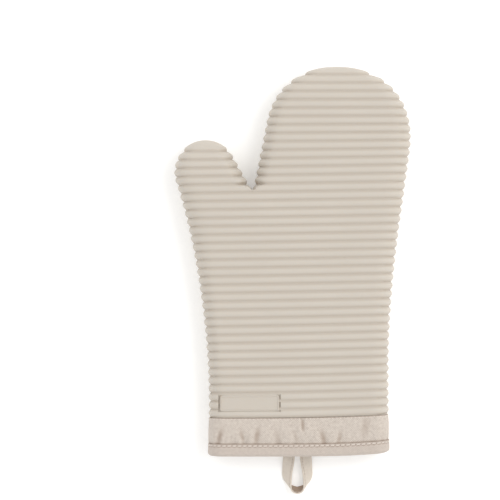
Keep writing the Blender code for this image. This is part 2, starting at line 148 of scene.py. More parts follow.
def linear(code):
    """A colour in linear values from its sRGB hex code."""
    channels = [int(code[k : k + 2], 16) / 255 for k in (1, 3, 5)]
    return tuple(c / 12.92 if c <= 0.04045 else ((c + 0.055) / 1.055) ** 2.4 for c in channels)


def size(name, text, default, low, high):
    """A length that a user can change."""
    return FloatProperty(name=name, description=text, default=default, min=low, max=high, unit="LENGTH", precision=5)


def colour(name, text, code):
    """A colour that a user can change."""
    return FloatVectorProperty(name=name, description=text, default=linear(code), subtype="COLOR", min=0, max=1)


class MittShellSettings(bpy.types.PropertyGroup):
    """Sizes and colour of the moulded silicone shell."""

    rib_depth: size("Rib depth", "From a rib's crest down to the groove beside it", 0.0020, 0.0005, 0.0021)
    tilt: size("Rib tilt", "How far the ribs rise across the palm as the mitt lies", 0.0016, 0, 0.003)
    cuff_rise: size("Cuff rise", "How far the cuff's right end is pushed up as it lies", 0.0033, 0, 0.005)
    plate_width: size("Plate width", "Name plate along the ribs", 0.0482, 0.03, 0.06)
    plate_length: size("Plate length", "Name plate across the ribs", 0.0126, 0.008, 0.0135)
    plate_rim: size("Plate rim", "Width of the plate's raised rim", 0.0009, 0.0004, 0.002)
    slot_width: size("Slot width", "Gap between a plate's end and the cut-off ribs", 0.0015, 0.0005, 0.002)
    colour: colour("Silicone", "Colour of the moulded silicone", "#CCC4B9")


class MittClothSettings(bpy.types.PropertyGroup):
    """Sizes and colours of the cuff, the lining and the loop."""

    pucker: size("Pucker depth", "Height of the folds that the hem's stitches draw up", 0.0013, 0, 0.0014)
    hem_pitch: size("Hem stitch pitch", "One stitch of the hem's row to the next", 0.0043, 0.002, 0.008)
    seam_pitch: size("Seam stitch pitch", "One stitch beside the shell to the next", 0.0031, 0.002, 0.008)
    loop_pitch: size("Loop stitch pitch", "One stitch on the tape to the next", 0.0026, 0.002, 0.008)
    quilt_pitch: size("Quilt pitch", "One line of quilting to the next", 0.030, 0.015, 0.05)
    quilt_rise: size("Quilt rise", "How far the lining's pads stand between their lines", 0.0020, 0.0005, 0.0020)
    twill: colour("Twill", "Colour of the cuff's cotton twill", "#D6CDC3")
    binding: colour("Binding", "Colour of the folded binding", "#CFC4BA")
    tape: colour("Tape", "Colour of the loop's cotton tape", "#E6DDD1")
    thread: colour("Thread", "Colour of the sewing thread", "#E4DAD0")
    lining: colour("Lining", "Colour of the lining cloth", "#D8CFC4")


class MittStageSettings(bpy.types.PropertyGroup):
    """The camera, the lights and the floor."""

    camera_x: size("Camera X", "Where the camera stands, across", -0.0344, -1, 1)
    camera_y: size("Camera Y", "Where the camera stands, along", 0.0260, -1, 1)
    camera_height: size("Camera height", "Camera above the floor", 2.9060, 0.3, 5)
    lens: FloatProperty(name="Lens", description="Focal length in millimetres", default=250, min=20, max=500)
    key_power: FloatProperty(name="Key light", description="Power of the main light in watts", default=32, min=0)
    fill_power: FloatProperty(name="Fill light", description="Power of the second light in watts", default=2, min=0)
    sky: FloatProperty(name="Surround", description="Strength of the light from all round", default=0.86, min=0)
    floor: colour("Floor", "Colour of the floor", "#FBFBFA")
    floor_glow: FloatProperty(
        name="Floor glow", description="Light that comes up through the floor", default=0.19, min=0
    )


SETTINGS = {
    "mitt_shell": MittShellSettings,
    "mitt_cloth": MittClothSettings,
    "mitt_stage": MittStageSettings,
}


# The hand's form


def arc(centre, radius, start, end):
    """Points on a circle from one angle to another, in radians."""
    return [centre + radius * Vector((math.cos(a), math.sin(a))) for a in np.linspace(start, end, EDGE_STEPS)]


def full_quarter(centre, across, up, power):
    """Points from a centre's right side up to its top, bulging further out than a circle would."""
    angles = np.linspace(0, math.pi / 2, EDGE_STEPS)
    shares = [(max(0, math.cos(a)) ** (2 / power), math.sin(a) ** (2 / power)) for a in angles]
    return [centre + Vector((across * x, up * y)) for x, y in shares]


def bezier(*knots):
    """Points on a cubic curve in the XY plane."""
    return [p.to_2d() for p in interpolate_bezier(*(k.to_3d() for k in knots), EDGE_STEPS)]


def palm_left_edge():
    """From the open end up the palm and the thumb's outer side, to the thumb's tip."""
    wrist = Vector((-CUFF_WIDTH / 2, WRIST_LEFT_Y))
    touch = math.pi + THUMB_OUTER_LEAN
    root = THUMB_CENTRE + THUMB_RADIUS * Vector((math.cos(touch), math.sin(touch)))
    down = Vector((math.sin(THUMB_OUTER_LEAN), -math.cos(THUMB_OUTER_LEAN)))
    side = bezier(wrist, wrist + Vector((0, WRIST_LEFT_PULL)), root + down * THUMB_ROOT_REACH, root)
    tip = arc(THUMB_CENTRE, THUMB_RADIUS, touch, math.pi / 2)
    return [Vector((-CUFF_WIDTH / 2, 0))] + side + tip[1:]


def hand_right_edge():
    """From the open end up the little-finger side to the fingertips."""
    wrist = Vector((CUFF_WIDTH / 2, WRIST_RIGHT_Y))
    knuckle = FINGER_CENTRE + Vector((FINGER_SIDE_RADIUS, 0))
    side = bezier(wrist, wrist + Vector((0, WRIST_RIGHT_PULL)), knuckle - Vector((0, KNUCKLE_PULL)), knuckle)
    tip = full_quarter(FINGER_CENTRE, FINGER_SIDE_RADIUS, FINGER_RADIUS, FINGER_FULLNESS)
    return [Vector((CUFF_WIDTH / 2, 0))] + side + tip[1:]


def hand_inner_tip():
    """The curve over the forefinger's corner, from where the hand's thumb side runs into it."""
    curve = full_quarter(FINGER_CENTRE, -FINGER_RADIUS, FINGER_RADIUS, FINGER_FULLNESS)
    return [p for p in curve if p.y > FINGER_CENTRE.y + FOREFINGER_START * FINGER_RADIUS]


def meeting_point():
    """Where the thumb's inner side and the hand's thumb side cross: the bottom of the fork between them."""
    thumb = THUMB_CENTRE + THUMB_RADIUS * Vector((math.cos(THUMB_INNER_LEAN), math.sin(THUMB_INNER_LEAN)))
    hand = FINGER_CENTRE + FINGER_RADIUS * Vector((-math.cos(HAND_LEAN), math.sin(HAND_LEAN)))
    thumb_run = -math.tan(THUMB_INNER_LEAN)
    hand_run = math.tan(HAND_LEAN)
    y = (hand.x - thumb.x + thumb_run * thumb.y - hand_run * hand.y) / (thumb_run - hand_run)
    return Vector((thumb.x + thumb_run * (y - thumb.y), y))


FORK = meeting_point()
FORK_SPREAD = 1 / math.cos(THUMB_INNER_LEAN) + 1 / math.cos(HAND_LEAN)
FORK_RUN = math.tan(THUMB_INNER_LEAN) + math.tan(HAND_LEAN)
EDGES = {
    "palm_left": palm_left_edge(),
    "hand_right": hand_right_edge(),
    "thumb_inner": [FORK] + arc(THUMB_CENTRE, THUMB_RADIUS, THUMB_INNER_LEAN, math.pi / 2),
    "hand_inner": [FORK] + hand_inner_tip(),
}
INWARD = {"palm_left": 1, "hand_right": -1, "thumb_inner": -1, "hand_inner": 1}
INSET_EDGES = {}


def edge_x(edge, y, depth):
    """The X of an edge moved into the hand by depth, at a height y, carried on straight below its first point."""
    key = (edge, round(depth * 1e6))
    if key not in INSET_EDGES:
        points = np.array(EDGES[edge])
        run = np.gradient(points, axis=0)
        run /= np.linalg.norm(run, axis=1)[:, None]
        INSET_EDGES[key] = points + np.column_stack((run[:, 1], -run[:, 0])) * depth * INWARD[edge]
    points = INSET_EDGES[key]
    if y < points[0, 1]:
        first, second = points[0], points[1]
        return first[0] + (y - first[1]) * (second[0] - first[0]) / (second[1] - first[1])
    return float(np.interp(y, points[:, 1], points[:, 0]))


def fork_y(depth):
    """The bottom of the fork in a layer at this depth."""
    return FORK.y - depth * FORK_SPREAD / FORK_RUN


def cuff_sink(y):
    """How much thinner each side of the mitt is towards its open end."""
    return CUFF_SINK * max(0, 1 - y / CUFF_SINK_LENGTH) ** 2


def half_height(y, tip, depth):
    """Half a layer's thickness at a height y, under a finger or thumb that ends at tip."""
    sink = cuff_sink(y)
    rise = min(1, max(0, (tip - depth - y) / (TIP_ROUNDING - depth)))
    return (HALF_THICKNESS - sink - depth) * math.sqrt(1 - (1 - rise) ** 2)


def smooth(t):
    """A soft step from 0 to 1."""
    t = min(1, max(0, t))
    return t * t * (3 - 2 * t)


def cuff_lift(x, y):
    """How far the mitt's right side is pushed up at its open end as it lies."""
    rise = bpy.context.scene.mitt_shell.cuff_rise
    power = 1.4 + 2.6 * math.exp(-y / 0.028)
    reach = max(0, (x + 0.040) / 0.115) ** power
    return rise * math.exp(-max(0, y - 0.020) / 0.060) * reach


def rib_lift(x, y):
    """How far a rib rises above its place in the middle: the ribs tilt a little up the palm, and less at the tips."""
    tilt = bpy.context.scene.mitt_shell.tilt
    share = smooth(y / 0.100) * (1 - 0.8 * smooth((y - 0.240) / 0.050)) if x > -0.030 else smooth(y / 0.100)
    return cuff_lift(x, y) + tilt * share * x / 0.100


def side_share(inset, width):
    """How high a rounded side stands, from 0 at its edge to 1 where it meets the flat."""
    return math.sqrt(1 - (1 - min(1, max(0, inset / width))) ** 2)


def place(x, y, z):
    """A point of the mitt in the frame."""
    return ORIGIN + Vector((x, y, z))


def rounded(start, width, angles):
    """The X of each column over a rounded side, from its edge inwards. A width below 0 runs to the left."""
    return [start + width * (1 - math.cos(a)) for a in angles]


def even(start, end, count):
    """Evenly spaced values between two others, without them."""
    return [start + (end - start) * (k + 1) / (count + 1) for k in range(count)]


def plate_span():
    """The X of the plate's two ends, and the heights of its two long edges."""
    shell = bpy.context.scene.mitt_shell
    left = -CUFF_WIDTH / 2 + PLATE_FROM_SIDE
    low = SHELL_START + PLATE_FROM_CUFF
    return left, left + shell.plate_width, low, low + shell.plate_length


def palm_columns(left, right, width, y):
    """The X of each column across the front of the palm: set by the plate low down, and by the fork higher up."""
    shell = bpy.context.scene.mitt_shell
    plate_left, plate_right, _, plate_high = plate_span()
    slot_left = plate_left - shell.slot_width
    slot_right = plate_right + shell.slot_width
    left_side = rounded(left, width, SIDE_ANGLES)
    right_side = rounded(right, -width, SIDE_ANGLES[::-1])
    low = left_side + even(left_side[-1], slot_left - SLOT_WALL, 4)
    low += [slot_left - SLOT_WALL, slot_left]
    low += even(slot_left, FORK.x, 6) + [FORK.x] + even(FORK.x, slot_right, 6)
    low += [slot_right, slot_right + SLOT_WALL]
    low += even(slot_right + SLOT_WALL, right_side[0], 18) + right_side
    beside = rounded(0, FORK_COLUMNS_REACH, FORK_ANGLES[CHAIN_LENGTH + 2 :])
    high = left_side + even(left_side[-1], FORK.x - beside[-1], THUMB_SPAN)
    high += [FORK.x - b for b in reversed(beside)] + [FORK.x] + [FORK.x + b for b in beside]
    high += even(FORK.x + beside[-1], right_side[0], HAND_SPAN) + right_side
    share = smooth((y - plate_high - 0.010) / (fork_y(0) - plate_high - 0.012))
    return [a + (b - a) * share for a, b in zip(low, high)]


def shell_palm_points(y, depth, relief=None):
    """Front half of a ring across the palm. relief(x, y), where the ring is ribbed, is added to the depth."""
    left_y = y + rib_lift(-CUFF_WIDTH / 2, y)
    right_y = y + rib_lift(CUFF_WIDTH / 2, y)
    left = edge_x("palm_left", left_y, depth)
    right = edge_x("hand_right", right_y, depth)
    width = SIDE_ROUNDING - depth
    points = []
    for x in palm_columns(left, right, width, y):
        lifted = y + rib_lift(x, y)
        inset = min(x - left, right - x)
        deeper = flatter(depth + relief(x, y), inset, width) if relief else depth
        height = half_height(lifted, FINGER_TIP, deeper)
        points.append((x, lifted, height * side_share(inset, width)))
    return points


def finger_points(y, depth, left_edge, right_edge, tip, fork_left, span):
    """Front half of a ring across the thumb or the fingers, from the mid-plane on one side to that on the other."""
    middle = THUMB_CENTRE.x if tip == THUMB_TIP else FINGER_CENTRE.x
    lift = rib_lift(middle, y)
    level = min(y + lift, tip - depth - 1e-5)
    left = edge_x(left_edge, level, depth)
    right = edge_x(right_edge, level, depth)
    fade = smooth((tip - level) / 0.015)
    limit = 0.45 * (right - left)
    width = min(SIDE_ROUNDING - depth, limit)
    fork_width = max(1e-4, min(width, level - fork_y(depth)))
    sides = [(SIDE_ANGLES, width), (FORK_ANGLES, fork_width)]
    (left_angles, left_width), (right_angles, right_width) = sides[::-1] if fork_left else sides
    left_side = rounded(left, left_width, left_angles)
    right_side = rounded(right, -right_width, right_angles[::-1])
    columns = left_side + even(left_side[-1], right_side[0], span) + right_side
    points = []
    for x in columns:
        lifted = min(level + (rib_lift(x, y) - lift) * fade, tip - depth - 1e-5)
        share = min(side_share(x - left, left_width), side_share(right - x, right_width))
        inset = min(x - left, right - x)
        points.append((x, lifted, half_height(lifted, tip, flatter(depth, inset, width)) * share))
    return points


def flatter(depth, inset, width):
    """The depth of a groove on the flat front, less than at the sides. Only the ribs' own depths are changed."""
    if depth > bpy.context.scene.mitt_shell.rib_depth + 1e-5:
        return depth
    return depth * (1 - (1 - FRONT_SHARE) * smooth(inset / width))


def thumb_points(y, depth):
    """Front half of a ring across the thumb above the fork."""
    return finger_points(y, depth, "palm_left", "thumb_inner", THUMB_TIP, False, THUMB_SPAN)


def hand_points(y, depth):
    """Front half of a ring across the fingers above the fork."""
    return finger_points(y, depth, "hand_inner", "hand_right", FINGER_TIP, True, HAND_SPAN)


def whole_ring(front):
    """A closed ring in the frame from its front half."""
    rear = [(x, y, -z) for x, y, z in reversed(front[1:-1])]
    return [place(*p) for p in list(front) + rear]


# Mesh tools


def new_bmesh(*layers):
    """An empty bmesh with a layer for each value that its vertices carry."""
    bm = bmesh.new()
    for name in layers:
        bm.verts.layers.float.new(name)
    return bm


def new_chain(bm, points, closed=True):
    """A row of vertices joined by edges."""
    chain = [bm.verts.new(p) for p in points]
    for a, b in chain_pairs(chain, closed):
        bm.edges.new((a, b))
    return chain


def chain_pairs(chain, closed):
    """Each vertex of a chain with the next."""
    return list(zip(chain, chain[1:] + chain[:1])) if closed else list(zip(chain, chain[1:]))


def grow_chain(bm, chain, points, closed=True):
    """Extrudes a chain's edges and moves the new vertices onto these points."""
    edges = [bm.edges.get(pair) for pair in chain_pairs(chain, closed)]
    grown = bmesh.ops.extrude_edge_only(bm, edges=edges)["geom"]
    fresh = {item for item in grown if isinstance(item, bmesh.types.BMVert)}
    moved = []
    for vert, point in zip(chain, points):
        twin = next(e.other_vert(vert) for e in vert.link_edges if e.other_vert(vert) in fresh)
        twin.co = point
        moved.append(twin)
    return moved


def next_ring(bm, chain, points):
    """The first ring of a surface, or the next one grown from the last."""
    return grow_chain(bm, chain, points) if chain else new_chain(bm, points)


def mark(bm, name, verts, values):
    """Stores a value on each vertex, for a material or a weave to read."""
    layer = bm.verts.layers.float[name]
    for vert, value in zip(verts, values):
        vert[layer] = value


def finished(name, bm, material, smooth_angle=50):
    """Turns a finished bmesh into a named object with its material."""
    mesh = bpy.data.meshes.new(name)
    bm.to_mesh(mesh)
    bm.free()
    mesh.materials.append(material)
    mesh.shade_smooth()
    mesh.set_sharp_from_angle(angle=math.radians(smooth_angle))
    piece = bpy.data.objects.new(name, mesh)
    bpy.context.scene.collection.objects.link(piece)
    return piece


def joins(piece, body, slot, *nodes):
    """Makes a piece move with a body and stand for the CAD nodes."""
    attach(piece, body)
    if nodes:
        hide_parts(*nodes)
    return piece


def unwrap(bm, turn):
    """Lays the weave's UV map from each vertex's distance round and along the cloth, in metres. turn is one round."""
    around = bm.verts.layers.float["around"]
    along = bm.verts.layers.float["along"]
    uv = bm.loops.layers.uv.new("weave")
    for face in bm.faces:
        spots = [(loop.vert[around], loop.vert[along]) for loop in face.loops]
        furthest = max(u for u, _ in spots)
        for loop, (u, v) in zip(face.loops, spots):
            loop[uv].uv = (u + turn if turn and furthest - u > turn / 2 else u, v)


# Materials


def add_node(tree, kind, links=None, inputs=None, **settings):
    """Adds one node with its settings, its own input values and the outputs that feed it."""
    node = tree.nodes.new(kind)
    for name, value in settings.items():
        setattr(node, name, value)
    for name, value in (inputs or {}).items():
        node.inputs[name].default_value = value
    for name, socket in (links or {}).items():
        tree.links.new(socket, node.inputs[name])
    return node


def mixed(tree, factor, first, second):
    """A blend of two colours. Each of the three is a value or the output that feeds it."""
    given = {"Factor": factor, "A": first, "B": second}
    links = {name: value for name, value in given.items() if isinstance(value, bpy.types.NodeSocket)}
    values = {name: value for name, value in given.items() if name not in links}
    return add_node(tree, "ShaderNodeMix", links, values, data_type="RGBA").outputs["Result"]


def noise(tree, where, scale, detail=2.0):
    """An uneven pattern, from 0 to 1."""
    inputs = {"Scale": scale, "Detail": detail}
    return add_node(tree, "ShaderNodeTexNoise", {"Vector": where}, inputs).outputs["Fac"]


def multiply_add(tree, value, factor, extra):
    """value x factor + extra."""
    node = add_node(tree, "ShaderNodeMath", {0: value, 2: extra}, {1: factor}, operation="MULTIPLY_ADD")
    return node.outputs["Value"]


def tint(base, *shares):
    """A base colour times one share, or one share for each channel."""
    if len(shares) == 1:
        return (*(base * shares[0]), 1)
    return (*(channel * share for channel, share in zip(base, shares)), 1)


def finish_surface(tree, shader, tone, values, height=None, strength=0, distance=0):
    """Feeds a shader its colour and its fine relief, and sets its own values."""
    tree.links.new(tone, shader.inputs["Base Color"])
    if height:
        bump = add_node(tree, "ShaderNodeBump", {"Height": height}, {"Strength": strength, "Distance": distance})
        tree.links.new(bump.outputs["Normal"], shader.inputs["Normal"])
    for name, value in values.items():
        shader.inputs[name].default_value = value


def new_material(name):
    """The material of this name, with its node tree and shader if it had to be made."""
    material = bpy.data.materials.get(name)
    if material:
        return material, None, None
    material = bpy.data.materials.new(name)
    material.use_nodes = True
    return material, material.node_tree, material.node_tree.nodes["Principled BSDF"]


def moulded_silicone():
    """Food-grade silicone rubber from a lightly grained mould: satin, a little translucent at thin rib crests, with a
    fine matte grain and a faint cloudy tone. Painted shade darkens its grooves, the plate's slots and the plate's sunk
    field."""
    material, tree, shader = new_material("moulded_silicone")
    if shader is None:
        return material
    base = Vector(bpy.context.scene.mitt_shell.colour)
    where = add_node(tree, "ShaderNodeTexCoord").outputs["Object"]
    # Painted shade: the groove attribute darkens the silicone towards a darker, warmer tint of itself.
    groove = add_node(tree, "ShaderNodeAttribute", attribute_name="groove").outputs["Fac"]
    tone = mixed(tree, noise(tree, where, 28.0, 4.0), tint(base, 0.955), tint(base, 1.035))
    groove_painted_shade = add_node(
        tree,
        "ShaderNodeMapRange",
        {"Value": groove},
        {"From Min": 0.12, "From Max": 0.62},
        interpolation_type="SMOOTHSTEP",
    )
    painted_shade_tone = mixed(tree, groove_painted_shade.outputs["Result"], tone, tint(base, 0.90, 0.88, 0.86))
    grain = multiply_add(tree, noise(tree, where, 1500.0), 0.25, noise(tree, where, 60.0, 3.0))
    rubber = {"IOR": 1.41, "Roughness": 0.52}
    rubber |= {"Subsurface Weight": 0.12, "Subsurface Radius": (1.0, 0.8, 0.6), "Subsurface Scale": 0.0015}
    finish_surface(tree, shader, painted_shade_tone, rubber, grain, 0.22, 0.0004)
    return material


# Twill's threads lie about 0.45 mm apart; the wale is drawn at 1.1 mm so that it shows.
TWILL_WALE = 0.0011
# The lining's plain weave has about 0.5 mm from thread to thread, and is drawn at 1 mm.
PLAIN_THREAD = 0.0010


def woven_cotton(name, base, wale, slant, fuzz, contrast):
    """Cotton cloth on a piece's weave map: painted light on the thread ridges and painted shade in the hollows between,
    slubs and fuzz that leave it dull and mottled, and painted shade where the piece's hollow attribute marks it."""
    material, tree, shader = new_material(name)
    if shader is None:
        return material
    base = Vector(base)
    weave = add_node(tree, "ShaderNodeUVMap", uv_map="weave").outputs["UV"]
    turned = add_node(tree, "ShaderNodeMapping", {"Vector": weave}, {"Rotation": (0, 0, slant)})
    across = 2 * math.pi * 0.05 / wale
    wales = add_node(
        tree,
        "ShaderNodeTexWave",
        {"Vector": turned.outputs["Vector"]},
        {"Scale": across, "Distortion": 1.6, "Detail": 2.0, "Detail Scale": 3.0},
    )
    weft = add_node(
        tree,
        "ShaderNodeTexWave",
        {"Vector": turned.outputs["Vector"]},
        {"Scale": across * 1.1, "Distortion": 2.2, "Detail": 2.0, "Detail Scale": 4.0},
        bands_direction="Y",
    )
    cross = add_node(
        tree, "ShaderNodeMath", {0: wales.outputs["Fac"], 1: weft.outputs["Fac"]}, operation="MULTIPLY"
    )
    speck = multiply_add(tree, noise(tree, weave, 420.0, 3.0), 0.9, cross.outputs["Value"])
    spread = add_node(tree, "ShaderNodeMapRange", {"Value": speck}, {"From Min": 0.25, "From Max": 1.15})
    # painted light and shade of the weave: thread ridges lighter, the hollows between darker
    dark = tint(base, 1 - contrast * 1.3, 1 - contrast * 1.5, 1 - contrast * 1.6)
    threads = mixed(tree, spread.outputs["Result"], dark, tint(base, 1 + contrast))
    mottled = mixed(tree, noise(tree, weave, 75.0, 3.0), threads, tint(base, 0.93))
    halved = mixed(tree, 0.55, threads, mottled)
    # Painted shade: the hollow attribute mixes in a dark, warm tint of the cloth.
    hollow = add_node(tree, "ShaderNodeAttribute", attribute_name="hollow").outputs["Fac"]
    shaded = mixed(tree, hollow, halved, tint(base, 0.52, 0.42, 0.36))
    cotton = {"Roughness": 0.92, "Specular IOR Level": 0.25, "Sheen Weight": fuzz, "Sheen Roughness": 0.5}
    finish_surface(tree, shader, shaded, cotton, speck, 0.6, 0.0004)
    return material


def cuff_twill():
    """Cotton twill, woven and piece-dyed."""
    cloth = bpy.context.scene.mitt_cloth
    return woven_cotton("woven_cotton_twill", cloth.twill, TWILL_WALE, math.radians(52), 0.15, 0.27)


def binding_twill():
    """The same twill, pressed and folded over the open end, in a slightly darker colour with less weave contrast."""
    cloth = bpy.context.scene.mitt_cloth
    return woven_cotton("folded_cotton_binding", cloth.binding, TWILL_WALE, math.radians(52), 0.15, 0.15)


def loop_tape():
    """Cotton tape, folded and pressed."""
    cloth = bpy.context.scene.mitt_cloth
    return woven_cotton("folded_cotton_tape", cloth.tape, TWILL_WALE, math.radians(40), 0.15, 0.12)


def spun_thread():
    """Spun polyester sewing thread: a two-ply twist, with a soft shine along each strand."""
    material, tree, shader = new_material("spun_polyester_thread")
    if shader is None:
        return material
    base = Vector(bpy.context.scene.mitt_cloth.thread)
    where = add_node(tree, "ShaderNodeTexCoord").outputs["Object"]
    twist = add_node(
        tree, "ShaderNodeTexWave", {"Vector": where}, {"Scale": 380.0, "Distortion": 1.0}, bands_direction="DIAGONAL"
    )
    ply = mixed(tree, twist.outputs["Fac"], tint(base, 0.82), tint(base, 1))
    finish_surface(tree, shader, ply, {"Roughness": 0.6, "Sheen Weight": 0.2}, twist.outputs["Fac"], 0.4, 0.0002)
    return material


# Silicone shell

RIB_FLANK_POWER = 1.7
FRONT_SHARE = 0.60  # the ribs' depth on the flat front, as a share of their depth at the sides
RIB_STEPS = (0, 0.05, 0.12, 0.22, 0.35, 0.5, 0.65, 0.78, 0.88, 0.95)


def groove_share(t):
    """How far a rib has fallen from its crest (0) to the groove (1), t being 0 and 1 at its two grooves."""
    return abs(2 * t - 1) ** RIB_FLANK_POWER


def rib_stations():
    """Height and groove share of each ring, from the first groove up to the last rib's crest."""
    return [
        (SHELL_START + (k + t) * RIB_PITCH, groove_share(t)) for k in range(RIB_COUNT) for t in RIB_STEPS
    ]


POCKET_DEPTH = 0.0014  # under the plate
SLOT_DEPTH = 0.0023  # at the plate's two ends
RIB_CHAMFER = 0.0014  # how far the cut-off rib ends slope beside the plate's slots


def plate_relief(x, y, groove, depth):
    """How much deeper the shell's face is in the pocket that the plate sits in, and on the chamfered rib ends."""
    shell = bpy.context.scene.mitt_shell
    left, right, low, high = plate_span()
    middle = (low + high) / 2
    if abs(y - middle) > RIB_PITCH - 1e-5:
        return 0
    outside = max(left - shell.slot_width - x, x - right - shell.slot_width)
    fall = depth * (1 - groove)
    if outside < -shell.slot_width - 0.0001:
        return POCKET_DEPTH - depth * groove if abs(y - middle) < (high - low) / 2 - 0.0004 else 0
    if outside <= 1e-6:
        cut = SLOT_DEPTH - depth * groove
        return cut if x < left else cut * (1 - smooth((groove - 0.45) / 0.3))
    return fall * 0.5 * max(0, 1 - outside / RIB_CHAMFER)


def shell_rings(bm, first, depth_of, rings, ribbed):
    """One surface of the shell from its ring at the flange: up the palm, then the thumb and the fingers."""
    groove = bm.verts.layers.float["groove"]
    fork_lift = rib_lift(FORK.x, FORK.y)
    palm = [ring for ring in rings if ring[0] + fork_lift < FORK.y + 0.0003]
    above = rings[len(palm) :]
    chain = first
    for y, share in palm:
        depth = depth_of(share)
        relief = (lambda x, h: plate_relief(x, h, share, depth_of(1))) if ribbed else None
        chain = grow_chain(bm, chain, whole_ring(shell_palm_points(y, depth, relief)))
        # The groove attribute is the painted shade's mask: the groove share on the ribs, and full painted shade in the
        # plate's slots.
        for vert in chain:
            in_front = ribbed and vert.co.z > ORIGIN.z
            slot = in_front and plate_relief(vert.co.x - ORIGIN.x, y, share, depth_of(1)) > 0.001
            vert[groove] = 1 if slot else share
    thumb, hand = split_at_fork(bm, chain)
    for part, tip, middle, points in (
        (thumb, THUMB_TIP, THUMB_CENTRE.x, thumb_points),
        (hand, FINGER_TIP, FINGER_CENTRE.x, hand_points),
    ):
        for y, share in finger_stations(above, tip, middle, depth_of):
            part = grow_chain(bm, part, whole_ring(points(y, depth_of(share))))
            # painted shade in the grooves of the thumb and the fingers
            for vert in part:
                vert[groove] = share
        bm.faces.new(part)


def finger_stations(above, tip, middle, depth_of):
    """Rings up a finger or thumb, with the last part rib drawn out into a plain rounded cap."""
    end = tip - depth_of(0)
    kept = [ring for ring in above if ring[0] + rib_lift(middle, ring[0]) < end - 0.0022]
    last_crest = max(k for k, (_, share) in enumerate(kept) if share < 0.02)
    kept = kept[: last_crest + 1]
    start = kept[-1][0] + rib_lift(middle, kept[-1][0])
    lift = rib_lift(middle, kept[-1][0])
    shares = [math.sin(math.pi / 2 * k / 9) for k in range(1, 10)]
    return kept + [(start + (end - start) * s - lift, 0) for s in shares]


def split_at_fork(bm, ring):
    """Runs a short chain of vertices from front to rear at the fork, and returns the thumb's and the hand's ring."""
    side = FORK_COLUMN
    front, rear = ring[side], ring[-side]
    up = [math.sin(a) for a in FORK_ANGLES[CHAIN_LENGTH:0:-1]]
    heights = up + [0] + [-h for h in reversed(up)]
    middle = ORIGIN.z
    top = front.co.z - middle
    chain = [bm.verts.new((front.co.x, front.co.y, middle + top * h)) for h in heights]
    for a, b in zip([front] + chain, chain + [rear]):
        bm.edges.new((a, b))
    thumb = ring[:side] + [front] + chain + [rear] + ring[1 - side :]
    half = len(chain) // 2
    hand = [chain[half]] + chain[:half][::-1] + [front] + ring[side + 1 : -side] + [rear] + chain[half + 1 :][::-1]
    return thumb, hand


def shell_mesh():
    """The ribbed outside, the plain inside and the sewing flange, as one closed wall."""
    bm = new_bmesh("groove")
    depth = bpy.context.scene.mitt_shell.rib_depth
    outer = new_chain(bm, whole_ring(shell_palm_points(FLANGE_START, FLANGE_OUT)))
    inner = grow_chain(bm, outer, whole_ring(shell_palm_points(FLANGE_START, SHELL_IN)))
    lip = [(SHELL_START - 0.0001, FLANGE_OUT), (SHELL_START, FLANGE_OUT - 0.0003), (SHELL_START + 0.0001, 0.0008)]
    for y, flange_depth in lip:
        outer = grow_chain(bm, outer, whole_ring(shell_palm_points(y, flange_depth)))
    rings = [ring for ring in rib_stations() if ring[0] > SHELL_START + 0.0003]
    shell_rings(bm, outer, lambda share: depth * share, rings, True)
    inside = [(SHELL_START + (FORK.y - SHELL_START) * k / 24, 0) for k in range(1, 24)]
    inside += [(FORK.y + 0.0010 + (FINGER_TIP - FORK.y) * k / 24, 0) for k in range(24)]
    shell_rings(bm, inner, lambda share: SHELL_IN, inside, False)
    bmesh.ops.recalc_face_normals(bm, faces=bm.faces)
    return bm


class MITT_OT_shell(bpy.types.Operator):
    """Build the ribbed silicone shell with the pocket for its name plate"""

    bl_idname = "mitt.shell"
    bl_label = "Silicone Shell"
    bl_options = {"REGISTER", "UNDO"}

    def execute(self, context):
        shell = finished("ribbed_shell", shell_mesh(), moulded_silicone(), 60)
        joins(shell, "mitt", "silicone", "silicone_shell")
        return {"FINISHED"}


def shell_face(x, y, depth):
    """The Z of the shell's front face at a place on the palm."""
    left = edge_x("palm_left", y, depth)
    right = edge_x("hand_right", y, depth)
    return half_height(y, FINGER_TIP, depth) * side_share(min(x - left, right - x), SIDE_ROUNDING - depth)


